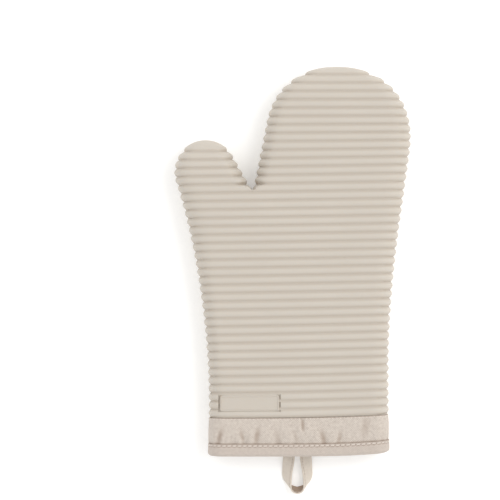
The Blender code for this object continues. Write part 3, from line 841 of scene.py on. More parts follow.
class MITT_OT_plate(bpy.types.Operator):
    """Build the blank name plate: a raised rim round a sunk field, moulded in the shell's pocket"""

    bl_idname = "mitt.plate"
    bl_label = "Name Plate"
    bl_options = {"REGISTER", "UNDO"}

    def execute(self, context):
        shell = context.scene.mitt_shell
        left, right, low, high = plate_span()
        bm = new_bmesh("groove")
        bmesh.ops.create_cube(bm, size=1)
        bmesh.ops.scale(bm, vec=(right - left, high - low, 0.0022), verts=bm.verts)
        upright = [e for e in bm.edges if abs(e.verts[0].co.z - e.verts[1].co.z) > 0.001]
        bmesh.ops.bevel(
            bm, geom=upright, offset=0.0009, affect="EDGES", segments=4, profile=0.5, material=-1, clamp_overlap=True
        )
        top = max(bm.faces, key=lambda face: face.calc_center_median().z)
        bmesh.ops.inset_region(bm, faces=[top], thickness=0.0002, depth=0)
        bmesh.ops.translate(bm, vec=(0, 0, 0.00018), verts=top.verts)
        bmesh.ops.inset_region(bm, faces=[top], thickness=shell.plate_rim - 0.0004, depth=0)
        bmesh.ops.inset_region(bm, faces=[top], thickness=0.00022, depth=0)
        bmesh.ops.translate(bm, vec=(0, 0, -0.00045), verts=top.verts)
        # painted shade on the plate's sunk field, through the groove attribute
        mark(bm, "groove", top.verts, [0.32] * len(top.verts))
        for k in range(1, 24):
            cut = Vector((-0.5 + k / 24, 0, 0)) * (right - left)
            everything = bm.verts[:] + bm.edges[:] + bm.faces[:]
            bmesh.ops.bisect_plane(bm, geom=everything, dist=1e-7, plane_co=cut, plane_no=(1, 0, 0))
        middle = Vector(((left + right) / 2, (low + high) / 2, 0))
        bmesh.ops.translate(bm, vec=middle, verts=bm.verts)
        for vert in bm.verts:
            x, y, z = vert.co
            vert.co = place(x, y + rib_lift(x, y), shell_face(x, y, 0) - 0.0009 + z)
        bmesh.ops.recalc_face_normals(bm, faces=bm.faces)
        plate = finished("name_plate_blank", bm, moulded_silicone(), 40)
        joins(plate, "mitt", "silicone")
        return {"FINISHED"}


# Cuff


class CuffPath:
    """The line round a section of the cuff, followed by distance from its left side over the front and back."""

    def __init__(self):
        half = CUFF_WIDTH / 2
        angles = [math.radians(a) for a in np.linspace(0, 90, 40)]
        front = [(-half + SIDE_ROUNDING * (1 - math.cos(a)), HALF_THICKNESS * math.sin(a)) for a in angles]
        front += [(-x, z) for x, z in reversed(front)]
        loop = front + [(x, -z) for x, z in reversed(front)]
        points = np.array(loop)
        steps = np.linalg.norm(np.diff(points, axis=0), axis=1)
        keep = np.concatenate(([True], steps > 1e-7))
        self.points = points[keep]
        self.reach = np.concatenate(([0], np.cumsum(steps[steps > 1e-7])))
        self.length = float(self.reach[-1])
        self.known = {}

    def at(self, distance):
        """The point at a distance round, and the outward direction there."""
        if distance in self.known:
            return self.known[distance]
        spot = distance % self.length
        here = np.array([np.interp(spot, self.reach, self.points[:, k]) for k in (0, 1)])
        step = 0.0008
        ahead = np.array([np.interp((spot + step) % self.length, self.reach, self.points[:, k]) for k in (0, 1)])
        behind = np.array([np.interp((spot - step) % self.length, self.reach, self.points[:, k]) for k in (0, 1)])
        run = ahead - behind
        run /= np.linalg.norm(run)
        self.known[distance] = here, np.array((-run[1], run[0]))
        return self.known[distance]

    def spot(self, distance, y, depth):
        """The place of a spot on the cuff's cloth."""
        here, out = self.at(distance)
        thinner = (HALF_THICKNESS - cuff_sink(y)) / HALF_THICKNESS
        x = here[0] - out[0] * depth
        z = here[1] * thinner - out[1] * depth
        return place(x, y + cuff_lift(x, y), z)


CUFF_PATH = CuffPath()
FRONT_START = float(np.interp(0, CUFF_PATH.points[:80, 0], CUFF_PATH.reach[:80]))  # the middle of the front

# The clearest folds: where each crosses the front, how high up its middle is, its half width and half length, how
# far it leans for each metre up, and its height as a share of the pucker depth.
FOLDS = (
    (-0.0665, 0.0165, 0.0046, 0.0062, 0.30, 0.9),
    (-0.0470, 0.0160, 0.0034, 0.0050, -0.25, 0.8),
    (-0.0355, 0.0170, 0.0042, 0.0066, 0.20, 0.9),
    (0.0028, 0.0255, 0.0026, 0.0058, -0.08, 1.0),
    (-0.0035, 0.0165, 0.0050, 0.0060, -0.30, 0.5),
    (0.0195, 0.0150, 0.0044, 0.0062, -0.20, 0.9),
    (0.0325, 0.0140, 0.0038, 0.0052, 0.25, 0.8),
    (0.0540, 0.0230, 0.0060, 0.0080, 0.10, 0.5),
    (-0.0180, 0.0150, 0.0060, 0.0070, -0.15, 0.4),
)


def fold_height(distance, y):
    """The clear folds' own height at a spot, from a ridge (above 0) to the valley beside it (below 0)."""
    across = distance - FRONT_START
    out = 0
    for x, middle, half_width, half_length, lean, share in FOLDS:
        near = (across - x - lean * (y - middle)) / half_width
        if abs(near) < 4.5:
            reach = math.exp(-(((y - middle) / half_length) ** 2))
            out += share * reach * (0.9 * math.exp(-((near + 1.0) ** 2)) - math.exp(-((near * 1.3) ** 2)))
            out += share * reach * 0.5 * math.exp(-((near - 1.7) ** 2))
    return out


def ripple(distance):
    """The even ripple of cloth that is gathered a little, round the cuff."""
    return math.sin(distance * 2 * math.pi / 0.0122 + 1.7 * math.sin(distance * 41))


def pucker(distance, y):
    """How far the cuff's cloth stands out, from the pull of the stitches."""
    cloth = bpy.context.scene.mitt_cloth
    out = fold_height(distance, y)
    waves = ripple(distance)
    waves += 0.7 * math.sin(distance * 2 * math.pi / 0.0074 + 2.3 * math.sin(distance * 67))
    low = math.exp(-(((y - 0.0115) / 0.0050) ** 2))
    high = math.exp(-(((y - 0.0310) / 0.0035) ** 2))
    out += 0.28 * waves * low + 0.16 * waves * high
    swell = 0.55 * math.sin(math.pi * min(1, max(0, (y - 0.0105) / 0.0205)))
    return cloth.pucker * (out + swell)


ROUND_STEPS = 640


def cuff_solid(profile, depth_change, hollow):
    """A closed band of cloth round the cuff from its cross-section as (y, depth, distance along the cloth)."""
    bm = new_bmesh("around", "along", "hollow")
    distances = [CUFF_PATH.length * k / ROUND_STEPS for k in range(ROUND_STEPS)]
    first = chain = None
    for y, depth, along in profile + profile[:1]:
        points = [CUFF_PATH.spot(d, y, depth - depth_change(d, y, depth)) for d in distances]
        chain = next_ring(bm, chain, points)
        first = first or chain
        mark(bm, "around", chain, distances)
        mark(bm, "along", chain, [along] * ROUND_STEPS)
        # painted shade: how dark each vertex of the cloth is painted
        mark(bm, "hollow", chain, [hollow(d, y, depth) for d in distances])
    bmesh.ops.remove_doubles(bm, verts=bm.verts, dist=1e-7)
    bmesh.ops.recalc_face_normals(bm, faces=bm.faces)
    unwrap(bm, CUFF_PATH.length)
    return bm


def band_profile():
    """Cross-section of the twill band: up its outside, over the turned edge beside the shell, and down its inside."""
    rows = 34
    outer, thick = 0.0006, BAND_IN - 0.0006
    top = CUFF_LENGTH - 0.00005
    turn = 0.0010
    low = 0.0030
    up = [(low + (top - turn - low) * k / rows, outer) for k in range(rows + 1)]
    over = [(top - turn * (1 - math.sin(a)), outer + thick * (1 - math.cos(a))) for a in np.linspace(0.3, 1.5, 6)]
    down = [(top - 0.0002 - (top - low) * k / 8, BAND_IN) for k in range(8)] + [(low, BAND_IN)]
    return measured(up + over + down)


def measured(profile):
    """A cross-section with each corner's distance along it."""
    reach = 0
    out = []
    for k, (y, depth) in enumerate(profile):
        if k:
            reach += math.dist((y, depth), profile[k - 1])
        out.append((y, depth, reach))
    return out


HEM_ROW_Y = 0.0089
HEM_TOP = 0.0105


def hem_profile():
    """Cross-section of the binding: down its outside, round the padded open end, up its inside, and back within."""
    outer, inner = -0.0004, BINDING_IN
    half = (inner - outer) / 2
    drop = 0.0026
    down = [(HEM_TOP - 0.0003, outer + 0.0005), (HEM_TOP, outer + 0.00032), (HEM_TOP - 0.0001, outer + 0.00012)]
    down += [(HEM_TOP - 0.00035, outer)]
    down += [(y, outer) for y in np.linspace(HEM_TOP - 0.0006, drop + 0.0002, 22)]
    turn = [(drop * (1 - math.sin(a)), outer + half * (1 - math.cos(a))) for a in np.linspace(0.15, math.pi - 0.15, 17)]
    up = [(y, inner) for y in np.linspace(drop + 0.0002, HEM_TOP, 8)]
    wall = 0.0006
    back = [(y, inner - wall) for y in (HEM_TOP, 0.0040)]
    back += [(y, outer + wall + 0.0001) for y in (0.0040, HEM_TOP - 0.0006)]
    return measured(down + turn + up + back)


def hem_change(distance, y, depth):
    """The hem's cloth: drawn in along the stitch row, most where each stitch goes down, and full in between."""
    if depth > 0.004:
        return 0
    cloth = bpy.context.scene.mitt_cloth
    phase = math.pi * distance / stitch_pitch(cloth.hem_pitch)
    pull = 0.35 + 0.65 * abs(math.cos(phase)) ** 1.5
    row = math.exp(-(((y - HEM_ROW_Y) / 0.0011) ** 2))
    edge = math.exp(-(((y - HEM_TOP) / 0.0010) ** 2))
    waves = ripple(distance)
    lower = smooth((0.0070 - y) / 0.004)
    return -0.00042 * row * pull + 0.00010 * edge * waves + 0.00018 * lower * waves


def hem_painted_shade(distance, y, depth):
    """Where the hem's cloth lies in its own shade: under each stitch, at its needle holes and along the fold."""
    if depth > 0.001:
        return 0
    phase = math.pi * distance / stitch_pitch(bpy.context.scene.mitt_cloth.hem_pitch)
    under = math.exp(-(((y - HEM_ROW_Y + 0.0008) / 0.0005) ** 2)) * abs(math.sin(phase)) ** 1.5
    hole = math.exp(-(((y - HEM_ROW_Y) / 0.0006) ** 2)) * abs(math.cos(phase)) ** 8
    fold = smooth((y - HEM_TOP + 0.0005) / 0.0004)
    return min(1, 0.8 * under + 0.9 * hole + 0.8 * fold)


def band_change(distance, y, depth):
    """The band's cloth: puckered outside, plain inside."""
    return pucker(distance, y) if depth < 0.0012 and y < CUFF_LENGTH - 0.0004 else 0


def band_painted_shade(distance, y, depth):
    """Where the band's cloth lies in its own shade: in the folds' valleys and along its two sewn edges."""
    if depth > 0.0012:
        return 0
    valley = min(0.6, max(0, -fold_height(distance, y)))
    phase = math.pi * distance / stitch_pitch(bpy.context.scene.mitt_cloth.seam_pitch)
    top = smooth((y - CUFF_LENGTH + 0.0009) / 0.0006) * (0.65 + 0.35 * abs(math.cos(phase)) ** 2)
    low = math.exp(-(((y - HEM_TOP - 0.0001) / 0.0006) ** 2)) * 0.8
    return min(1, valley + top + low)


def stitch_pitch(wanted):
    """The pitch nearest to the one wanted that goes a whole number of times round the cuff."""
    return CUFF_PATH.length / round(CUFF_PATH.length / wanted)


def add_stitch(bm, start, end, out, width, height):
    """One stitch: a plump strand between two needle holes, half sunk in the cloth."""
    along = (end - start).normalized()
    side = along.cross(out).normalized()
    axes = Matrix((along * (end - start).length / 2, side * width / 2, out * height)).transposed().to_4x4()
    turn = Matrix.Rotation(math.pi / 2, 4, "Y")
    middle = Matrix.Translation((start + end) / 2)
    bmesh.ops.create_uvsphere(bm, u_segments=8, v_segments=6, radius=1, matrix=middle @ axes @ turn)


def row_of_stitches(pitch_wanted, y, depth, length_share, width, height, slant, change):
    """A row of stitches round the cuff."""
    bm = bmesh.new()
    pitch = stitch_pitch(pitch_wanted)
    for k in range(round(CUFF_PATH.length / pitch)):
        ends = []
        for side in (-1, 1):
            distance = (k + 0.5 + side * length_share / 2) * pitch
            level = y + side * slant
            ends.append(CUFF_PATH.spot(distance, level, depth - change(distance, level, 0)))
        _, out = CUFF_PATH.at((k + 0.5) * pitch)
        add_stitch(bm, ends[0], ends[1], Vector((out[0], 0, out[1])).normalized(), width, height)
    return bm


class MITT_OT_cuff(bpy.types.Operator):
    """Build the cuff: the puckered twill band and the folded binding round the open end"""

    bl_idname = "mitt.cuff"
    bl_label = "Cuff"
    bl_options = {"REGISTER", "UNDO"}

    def execute(self, context):
        band = finished("twill_band", cuff_solid(band_profile(), band_change, band_painted_shade), cuff_twill(), 70)
        joins(band, "mitt", "twill", "cuff_band")
        hem = finished("folded_binding", cuff_solid(hem_profile(), hem_change, hem_painted_shade), binding_twill(), 70)
        joins(hem, "mitt", "twill", "cuff_binding")
        return {"FINISHED"}


class MITT_OT_stitches(bpy.types.Operator):
    """Sew the two rows of stitches round the cuff"""

    bl_idname = "mitt.stitches"
    bl_label = "Cuff Stitches"
    bl_options = {"REGISTER", "UNDO"}

    def execute(self, context):
        cloth = context.scene.mitt_cloth
        hem = row_of_stitches(cloth.hem_pitch, HEM_ROW_Y, -0.0004, 0.84, 0.0013, 0.00055, 0.0002, hem_change)
        row = finished("hem_stitches", hem, spun_thread(), 180)
        joins(row, "mitt", "thread", "hem_topstitch_thread")
        seam_y = CUFF_LENGTH - 0.0012
        seam = row_of_stitches(cloth.seam_pitch, seam_y, 0.0006, 0.62, 0.0008, 0.00036, 0, band_change)
        row = finished("seam_stitches", seam, spun_thread(), 180)
        joins(row, "mitt", "thread", "cuff_seam_thread")
        return {"FINISHED"}


# Lining

LINING_START = 0.0036  # the lining's open end, inside the binding
LINING_ROW = 0.0032
SEAM_HALF_GAP = 0.0006
BACKING_WALL = 0.0005
FACE_WALL = 0.0008
WADDING_WALL = 0.0030
WADDING_PRESSED = 0.0010  # what is left of the wadding under a line of quilting
BACKING_IN = BACKING_OUT + BACKING_WALL
LAYER_GAP = 0.0003
FACE_LINE = WADDING_OUT + WADDING_PRESSED + LAYER_GAP + FACE_WALL
HELD_REACH = 0.0012  # how far to each side of a line the stitches hold the cloth down
PAD_SHOULDER = 0.0055
SWELL_SHARE = 0.6  # of a pad's rise that is the simulation's; the rest is a plain curve, which evens the pads
SWELL_EVENINGS = 4  # how often each vertex's rise is averaged with its neighbours'
SWELL_FRAMES = 20


def quilt_distance(x, y):
    """How far a spot is from the nearest line of the diamond quilting."""
    pitch = bpy.context.scene.mitt_cloth.quilt_pitch
    nearest = pitch
    for reach in ((x + y) / math.sqrt(2), (x - y) / math.sqrt(2)):
        nearest = min(nearest, abs((reach / pitch + 0.5) % 1 - 0.5) * pitch)
    return nearest


def lining_sheet(depth, side):
    """One half of a lining layer as a sheet without thickness, facing into the mitt. side is 1 at the front."""
    bm = new_bmesh("around", "along", "line")

    def spots(points):
        return [place(x, y, side * max(z, SEAM_HALF_GAP)) for x, y, z in points]

    def note(chain):
        mark(bm, "around", chain, [v.co.x for v in chain])
        mark(bm, "along", chain, [v.co.y for v in chain])
        ends = [0] + [quilt_distance(v.co.x, v.co.y) for v in chain[1:-1]] + [0]
        mark(bm, "line", chain, ends)

    fork_lift = rib_lift(FORK.x, FORK.y)
    top = fork_y(depth) - fork_lift
    count = round((top - LINING_START) / LINING_ROW)
    rows = [LINING_START + (top - LINING_START) * k / count for k in range(count + 1)]
    chain = new_chain(bm, spots(shell_palm_points(rows[0], depth)), closed=False)
    note(chain)
    mark(bm, "line", chain, [0] * len(chain))
    for y in rows[1:]:
        chain = grow_chain(bm, chain, spots(shell_palm_points(y, depth)), closed=False)
        note(chain)
    corner = FORK_COLUMN
    front = chain[corner]
    height = side * (front.co.z - ORIGIN.z)
    falls = [height * math.sin(a) for a in FORK_ANGLES[CHAIN_LENGTH:0:-1]] + [SEAM_HALF_GAP]
    low = [bm.verts.new((front.co.x, front.co.y, ORIGIN.z + side * fall)) for fall in falls]
    for a, b in zip([front] + low, low):
        bm.edges.new((a, b))
    note([front] + low)
    for part, tip, points in (
        (chain[: corner + 1] + low, THUMB_TIP, thumb_points),
        (low[::-1] + chain[corner:], FINGER_TIP, hand_points),
    ):
        span = tip - depth - 0.0008 - top
        steps = round(span / LINING_ROW * 1.2)
        for k in range(1, steps + 1):
            y = top + span * math.sin(math.pi / 2 * k / steps)
            part = grow_chain(bm, part, spots(points(y, depth)), closed=False)
            note(part)
        mark(bm, "line", part, [0] * len(part))
    bmesh.ops.recalc_face_normals(bm, faces=bm.faces)
    if sum(face.normal.z * face.calc_area() for face in bm.faces) * side > 0:
        bmesh.ops.reverse_faces(bm, faces=bm.faces)
    bm.normal_update()
    unwrap(bm, 0)
    return bm


def swollen(name, bm):
    """Lets air pressure swell a quilted sheet between its lines, and returns how far each vertex rose."""
    rise = bpy.context.scene.mitt_cloth.quilt_rise
    line = bm.verts.layers.float["line"]
    bm.verts.index_update()
    rough = [rise * (1 - math.exp(-((vert[line] / PAD_SHOULDER) ** 2))) for vert in bm.verts]
    rest = [vert.co.copy() for vert in bm.verts]
    normals = [vert.normal.copy() for vert in bm.verts]
    mesh = bpy.data.meshes.new(name)
    bm.to_mesh(mesh)
    sheet = bpy.data.objects.new(name, mesh)
    bpy.context.scene.collection.objects.link(sheet)
    held = sheet.vertex_groups.new(name="held")
    for vert in bm.verts:
        held.add([vert.index], 1.0 if vert[line] < HELD_REACH else 0.0, "REPLACE")
    cloth = sheet.modifiers.new("swell", "CLOTH")
    cloth.settings.quality = 6
    cloth.settings.mass = 0.2
    cloth.settings.tension_stiffness = 20
    cloth.settings.compression_stiffness = 12
    cloth.settings.bending_stiffness = 0.3
    cloth.settings.vertex_group_mass = "held"
    cloth.settings.shrink_min = -0.05
    cloth.settings.use_pressure = True
    cloth.settings.uniform_pressure_force = 6
    cloth.settings.effector_weights.gravity = 0
    cloth.collision_settings.use_collision = False
    for number in range(1, SWELL_FRAMES + 1):
        bpy.context.scene.frame_set(number)
    graph = bpy.context.evaluated_depsgraph_get()
    moved = sheet.evaluated_get(graph).to_mesh()
    risen = [min(rise, max(0, (v.co - p).dot(n))) for v, p, n in zip(moved.vertices, rest, normals)]
    sheet.evaluated_get(graph).to_mesh_clear()
    bpy.data.objects.remove(sheet)
    bpy.context.scene.frame_set(1)
    beside = [[edge.other_vert(vert).index for edge in vert.link_edges] for vert in bm.verts]
    free = [vert[line] >= HELD_REACH for vert in bm.verts]
    for _ in range(SWELL_EVENINGS):
        evened = [(risen[k] + sum(risen[j] for j in near) / len(near)) / 2 for k, near in enumerate(beside)]
        risen = [new if loose else 0 for new, loose in zip(evened, free)]
    return [SWELL_SHARE * new + (1 - SWELL_SHARE) * guess for new, guess in zip(risen, rough)]


def thick_sheet(name, bm, rises, wall, material, thinnest=1.0):
    """Moves a sheet's vertices into the mitt by their rise and gives it its wall, thinnest where it hasn't risen."""
    for vert, rise in zip(bm.verts, rises):
        vert.co += vert.normal * rise
    piece = finished(name, bm, material, 180)
    group = piece.vertex_groups.new(name="thickness")
    top = max(max(rises), 1e-6)
    for k, rise in enumerate(rises):
        group.add([k], thinnest + (1 - thinnest) * rise / top, "REPLACE")
    solid = piece.modifiers.new("wall", "SOLIDIFY")
    solid.thickness = wall
    solid.offset = -1
    solid.vertex_group = "thickness"
    finer = piece.modifiers.new("soften", "SUBSURF")
    finer.levels = finer.render_levels = 1
    finer.boundary_smooth = "PRESERVE_CORNERS"
    graph = bpy.context.evaluated_depsgraph_get()
    mesh = bpy.data.meshes.new_from_object(piece.evaluated_get(graph))
    piece.modifiers.clear()
    piece.vertex_groups.clear()
    piece.data = mesh
    mesh.shade_smooth()
    return piece


def lining_cotton():
    """Plain-woven brushed cotton, quilted."""
    cloth = bpy.context.scene.mitt_cloth
    return woven_cotton("brushed_cotton_lining", cloth.lining, PLAIN_THREAD, 0, 0.3, 0.08)


def polyester_wadding():
    """Needle-punched polyester wadding: a soft white tangle of fibres."""
    return woven_cotton("needled_polyester_wadding", linear("#EFEDEA"), 0.0026, 0.6, 0.6, 0.06)


class MITT_OT_lining(bpy.types.Operator):
    """Build the quilted lining: backing cloth, wadding and face cloth for the front and the rear, and their seam"""

    bl_idname = "mitt.lining"
    bl_label = "Quilted Lining"
    bl_options = {"REGISTER", "UNDO"}

    def execute(self, context):
        for half, side in (("front", 1), ("rear", -1)):
            bm = lining_sheet(BACKING_IN, side)
            flat = [0] * len(bm.verts)
            self.cloth(f"lining_backing_{half}", bm, flat, BACKING_WALL, f"backing_cloth_{half}", "ribbed_shell")
            bm = lining_sheet(FACE_LINE, side)
            rises = swollen(f"swell_{half}", bm)
            self.cloth(f"lining_quilt_{half}", bm, rises, FACE_WALL, f"lining_face_{half}", f"wadding_{half}_pad")
            bm = lining_sheet(WADDING_OUT + WADDING_PRESSED, side)
            thin = WADDING_PRESSED / WADDING_WALL
            pad = thick_sheet(f"wadding_{half}_pad", bm, rises, WADDING_WALL, polyester_wadding(), thin)
            joins(pad, "mitt", "wadding", f"wadding_{half}")
        seam = finished("lining_seam", self.seam(), spun_thread(), 180)
        joins(seam, "mitt", "thread", "lining_seam_thread")
        return {"FINISHED"}

    def cloth(self, name, bm, rises, wall, node, under):
        """One of the lining's cloths, thickened from its sheet."""
        area = sum(face.calc_area() for face in bm.faces)
        piece = thick_sheet(name, bm, rises, wall, lining_cotton())
        joins(piece, "mitt", "lining_cloth", node)

    def seam(self):
        """The thread that joins the lining's halves, up the thumb, round the fork and over the fingertips."""
        depth = (WADDING_OUT + WADDING_IN) / 2
        fork = fork_y(depth)
        levels = np.linspace(LINING_START, fork, 70)
        thumb_levels = fork + (THUMB_TIP - depth - fork) * np.sin(np.linspace(0, math.pi / 2, 40))
        hand_levels = fork + (FINGER_TIP - depth - fork) * np.sin(np.linspace(0, math.pi / 2, 70))
        route = [(edge_x("palm_left", y, depth), y) for y in [*levels, *thumb_levels[1:]]]
        route += [(edge_x("thumb_inner", y, depth), y) for y in thumb_levels[:0:-1]]
        route += [(edge_x("hand_inner", y, depth), y) for y in hand_levels]
        route += [(edge_x("hand_right", y, depth), y) for y in [*hand_levels[::-1], *levels[::-1]]]
        bm = bmesh.new()
        chain = None
        spots = [place(x, y, 0) for x, y in route]
        spots = [p for k, p in enumerate(spots) if k == 0 or (p - spots[k - 1]).length > 1e-5]
        for k, spot in enumerate(spots):
            run = (spots[min(k + 1, len(spots) - 1)] - spots[max(k - 1, 0)]).normalized()
            side = run.cross(Vector((0, 0, 1)))
            turns = [2 * math.pi * t / 8 for t in range(8)]
            ring = [spot + (side * math.cos(t) + Vector((0, 0, math.sin(t)))) * 0.00028 for t in turns]
            chain = next_ring(bm, chain, ring)
        bmesh.ops.holes_fill(bm, edges=[edge for edge in bm.edges if edge.is_boundary], sides=0)
        bmesh.ops.recalc_face_normals(bm, faces=bm.faces)
        return bm


# Hanging loop

LOOP_LENGTH = 0.0286
LOOP_LEG_SPACING = 0.0070
LOOP_BELLY = 0.0080
LOOP_SHOULDER = 0.0125
LOOP_POINT = 0.93  # how far down the shoulders lie, as a share of the length: the rest is the loop's pointed end
LOOP_ROLL = math.radians(34)  # how far each leg's inner edge stands up
TAPE_WIDTH = 0.0098
TAPE_THICKNESS = 0.0014
TAPE_LEAN = math.radians(32.0)
LOOP_EXIT_HEIGHT = 0.0031
LOOP_EXIT_SHARE = 0.35
LOOP_TWIST_START = 0.36
LOOP_STEPS = 44
LOOP_TAIL = 0.0060  # how far each end of the tape runs on inside the hem
LOOP_TAIL_STEPS = 4
BEND_INSIDE = 0.0030  # where the tape's bend starts, inside the hem
BEND_OUTSIDE = 0.0035  # where it ends, outside


def loop_hinge():
    """Where the loop turns, from the frame's joint."""
    joint = next(j for j in frame["joints"] if j["name"] == "loop_swing")
    return Vector(joint["pos_m"])


def loop_station(share, side):
    """Middle, width direction and face direction of the tape. share runs from the hem (0) to the loop's end (1)."""
    end = Vector((0, -LOOP_LENGTH))
    start = Vector((LOOP_LEG_SPACING, 0))
    belly = Vector((LOOP_BELLY, end.y / 2))
    shoulder = Vector((LOOP_SHOULDER, end.y * LOOP_POINT))
    rest = 1 - share
    flat = rest**3 * start + 3 * rest**2 * share * belly + 3 * rest * share**2 * shoulder + share**3 * end
    run = rest**2 * (belly - start) + 2 * rest * share * (shoulder - belly) + share**2 * (end - shoulder)
    roll = LOOP_ROLL * smooth(share / LOOP_EXIT_SHARE)
    twist = roll + (math.pi / 2 - roll) * smooth((share - LOOP_TWIST_START) / (1 - LOOP_TWIST_START))
    width = Vector((-side * math.cos(twist), -math.sin(TAPE_LEAN) * math.sin(twist), 0))
    width.z = math.cos(TAPE_LEAN) * math.sin(twist)
    height = TAPE_WIDTH / 2 * width.z - LOOP_EXIT_HEIGHT * smooth(share / LOOP_EXIT_SHARE)
    middle = Vector((side * flat.x, flat.y, height))
    along = Vector((side * run.x, run.y, 0)) * -side
    return middle, width.normalized(), along.cross(width).normalized()


def loop_stations():
    """The tape's stations, from inside the hem up one leg, down the other and back inside."""
    shares = [math.sin(math.pi / 2 * k / LOOP_STEPS) for k in range(LOOP_STEPS + 1)]
    left = [loop_station(share, -1) for share in shares]
    right = [loop_station(share, 1) for share in reversed(shares[:-1])]
    tails = []
    for middle, width, face in (left[0], right[-1]):
        steps = range(LOOP_TAIL_STEPS, 0, -1)
        tails.append([(middle + Vector((0, LOOP_TAIL * k / LOOP_TAIL_STEPS, 0)), width, face) for k in steps])
    return tails[0] + left + right + tails[1][::-1]


def tape_section():
    """Cross-section of the folded tape as (share of the half width, share of the half thickness): plump rolled edges,
    and a slight hollow where the stitches pull it in beside the inner edge."""
    edge = [(math.cos(a), math.sin(a)) for a in np.linspace(-math.pi / 2, math.pi / 2, 7)]
    right = [(0.86 + 0.14 * c, s) for c, s in edge]
    top = [(0.74, 0.86), (0.66, 0.62), (0.56, 0.90), (0.3, 1.0), (0, 0.96), (-0.3, 1.0), (-0.6, 1.0)]
    left = [(-0.86 - 0.14 * c, -s) for c, s in edge]
    bottom = [(x, -z) for x, z in reversed(top)]
    return right + top + left + bottom


class MITT_OT_loop(bpy.types.Operator):
    """Build the folded tape loop and its row of stitches"""

    bl_idname = "mitt.loop"
    bl_label = "Hanging Loop"
    bl_options = {"REGISTER", "UNDO"}

    def execute(self, context):
        cloth = context.scene.mitt_cloth
        hinge = loop_hinge()
        bm = new_bmesh("around", "along", "hollow")
        section = tape_section()
        widths = [0]
        for a, b in zip(section, section[1:]):
            step = ((b[0] - a[0]) * TAPE_WIDTH / 2, (b[1] - a[1]) * TAPE_THICKNESS / 2)
            widths.append(widths[-1] + math.hypot(*step))
        chain = None
        reach = 0
        before = None
        for middle, width, face in loop_stations():
            reach += (middle - before).length if before else 0
            before = middle
            points = []
            for across, through in section:
                offset = width * across * TAPE_WIDTH / 2 + face * through * TAPE_THICKNESS / 2
                points.append(hinge + middle + offset)
            chain = next_ring(bm, chain, points)
            mark(bm, "around", chain, widths)
            mark(bm, "along", chain, [reach] * len(section))
            # painted shade on the tape's inner face at the loop's pointed end, and along the stitched hollow by the
            # inner edge
            inner_face_shade = smooth((-middle.y - 0.0225) / 0.0040)
            shade = [inner_face_shade if through < 0.5 and across < 0.9 else 0 for across, through in section]
            shade = [0.85 if 0.62 < across < 0.7 else dark for dark, (across, _) in zip(shade, section)]
            mark(bm, "hollow", chain, shade)
        ends = [edge for edge in bm.edges if edge.is_boundary]
        bmesh.ops.holes_fill(bm, edges=ends, sides=0)
        bmesh.ops.recalc_face_normals(bm, faces=bm.faces)
        unwrap(bm, widths[-1])
        tape = finished("tape_loop", bm, loop_tape(), 60)
        start = hinge + Vector((0, BEND_INSIDE, 0))
        end = hinge + Vector((0, -BEND_OUTSIDE, 0))
        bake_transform(tape, "mitt", "loop", start=start, end=end)
        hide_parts("hanging_loop")
        stitches = finished("loop_stitches", self.stitches(hinge, cloth.loop_pitch), spun_thread(), 180)
        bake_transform(stitches, "mitt", "loop", start=start, end=end)
        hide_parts("loop_stitch_thread")
        return {"FINISHED"}

    def stitches(self, hinge, pitch):
        """Small stitches in the hollow along the tape's inner edge, on both faces."""
        bm = bmesh.new()
        stations = loop_stations()[LOOP_TAIL_STEPS:-LOOP_TAIL_STEPS]
        for facing in (1, -1):
            places = []
            outs = []
            for middle, width, face in stations:
                hollow = width * 0.66 * TAPE_WIDTH / 2 + face * facing * 0.62 * TAPE_THICKNESS / 2
                places.append(np.array(hinge + middle + hollow))
                outs.append(np.array(face * facing))
            places, outs = np.array(places), np.array(outs)
            steps = np.linalg.norm(np.diff(places, axis=0), axis=1)
            reach = np.concatenate(([0], np.cumsum(steps)))
            count = int(reach[-1] / pitch)
            for k in range(count):
                spots = []
                for distance in ((k + 0.2) * pitch, (k + 0.85) * pitch):
                    spots.append(Vector([np.interp(distance, reach, places[:, c]) for c in range(3)]))
                out = Vector([np.interp((k + 0.5) * pitch, reach, outs[:, c]) for c in range(3)]).normalized()
                add_stitch(bm, spots[0], spots[1], out, 0.0006, 0.00026)
        return bm


# Stage


def area_light(name, spot, target, side, power, tint):
    """A soft square light that faces a target."""
    light = bpy.data.lights.new(name, "AREA")
    light.shape = "SQUARE"
    light.size = side
    light.energy = power
    light.color = tint
    lamp = bpy.data.objects.new(name, light)
    lamp.location = spot
    lamp.rotation_euler = (Vector(target) - Vector(spot)).to_track_quat("-Z", "Y").to_euler()
    bpy.context.scene.collection.objects.link(lamp)


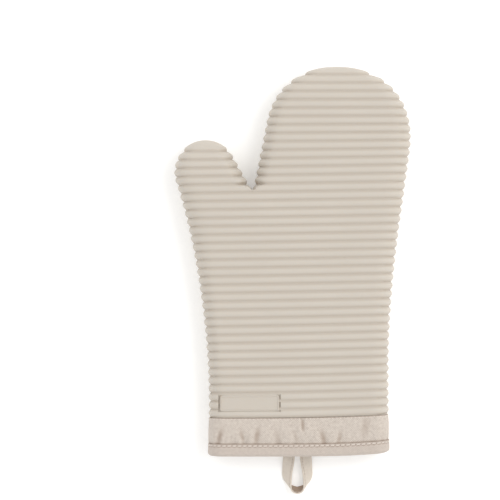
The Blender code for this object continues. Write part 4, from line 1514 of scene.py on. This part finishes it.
class MITT_OT_stage(bpy.types.Operator):
    """Set up the pale floor, the soft studio light and the camera"""

    bl_idname = "mitt.stage"
    bl_label = "Stage"
    bl_options = {"REGISTER", "UNDO"}

    def execute(self, context):
        stage = context.scene.mitt_stage
        bm = bmesh.new()
        bmesh.ops.create_grid(bm, x_segments=4, y_segments=4, size=4)
        floor = finished("floor", bm, self.floor_finish(stage))
        world = bpy.data.worlds.new("surround")
        world.use_nodes = True
        surround = world.node_tree.nodes["Background"]
        surround.inputs["Color"].default_value = (1, 1, 1, 1)
        surround.inputs["Strength"].default_value = stage.sky
        context.scene.world = world
        area_light("key_light", (1.85, 0.70, 2.5), (0, 0, 0), 1.8, stage.key_power, (1, 0.985, 0.96))
        area_light("fill_light", (-1.3, 0.4, 1.3), (0, 0, 0), 1.4, stage.fill_power, (0.97, 0.98, 1))
        lens = bpy.data.cameras.new("camera")
        lens.lens = stage.lens
        lens.sensor_width = 36
        camera = bpy.data.objects.new("camera", lens)
        camera.location = (stage.camera_x, stage.camera_y, stage.camera_height)
        context.scene.collection.objects.link(camera)
        context.scene.camera = camera
        context.scene.view_settings.view_transform = "Standard"
        return {"FINISHED"}

    def floor_finish(self, stage):
        """Seamless paper: matte, with a very faint unevenness."""
        material, tree, shader = new_material("seamless_paper")
        base = Vector(stage.floor)
        where = add_node(tree, "ShaderNodeTexCoord").outputs["Object"]
        tone = mixed(tree, noise(tree, where, 3.0), tint(base, 0.99), tint(base, 1))
        paper = {"Roughness": 0.9, "Specular IOR Level": 0.2}
        paper |= {"Emission Color": (1, 1, 1, 1), "Emission Strength": stage.floor_glow}
        finish_surface(tree, shader, tone, paper)
        return material


OPERATORS = (
    MITT_OT_stage,
    MITT_OT_shell,
    MITT_OT_plate,
    MITT_OT_cuff,
    MITT_OT_stitches,
    MITT_OT_lining,
    MITT_OT_loop,
)


class MITT_PT_sidebar(bpy.types.Panel):
    """The mitt's pieces and their settings"""

    bl_idname = "MITT_PT_sidebar"
    bl_label = "Oven Mitt"
    bl_space_type = "VIEW_3D"
    bl_region_type = "UI"
    bl_category = "Mitt"

    def draw(self, context):
        column = self.layout.column(align=True)
        for operator in OPERATORS:
            column.operator(operator.bl_idname)
        for name, group in SETTINGS.items():
            box = self.layout.box()
            for key in group.__annotations__:
                box.prop(getattr(context.scene, name), key)


def register():
    for name, group in SETTINGS.items():
        bpy.utils.register_class(group)
        setattr(bpy.types.Scene, name, PointerProperty(type=group))
    for operator in OPERATORS:
        bpy.utils.register_class(operator)
    bpy.utils.register_class(MITT_PT_sidebar)


def unregister():
    bpy.utils.unregister_class(MITT_PT_sidebar)
    for operator in reversed(OPERATORS):
        bpy.utils.unregister_class(operator)
    for name, group in SETTINGS.items():
        delattr(bpy.types.Scene, name)
        bpy.utils.unregister_class(group)


def main():
    register()
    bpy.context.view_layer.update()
    for operator in OPERATORS:
        group, name = operator.bl_idname.split(".")
        getattr(getattr(bpy.ops, group), name)()


if __name__ == "__main__":
    main()
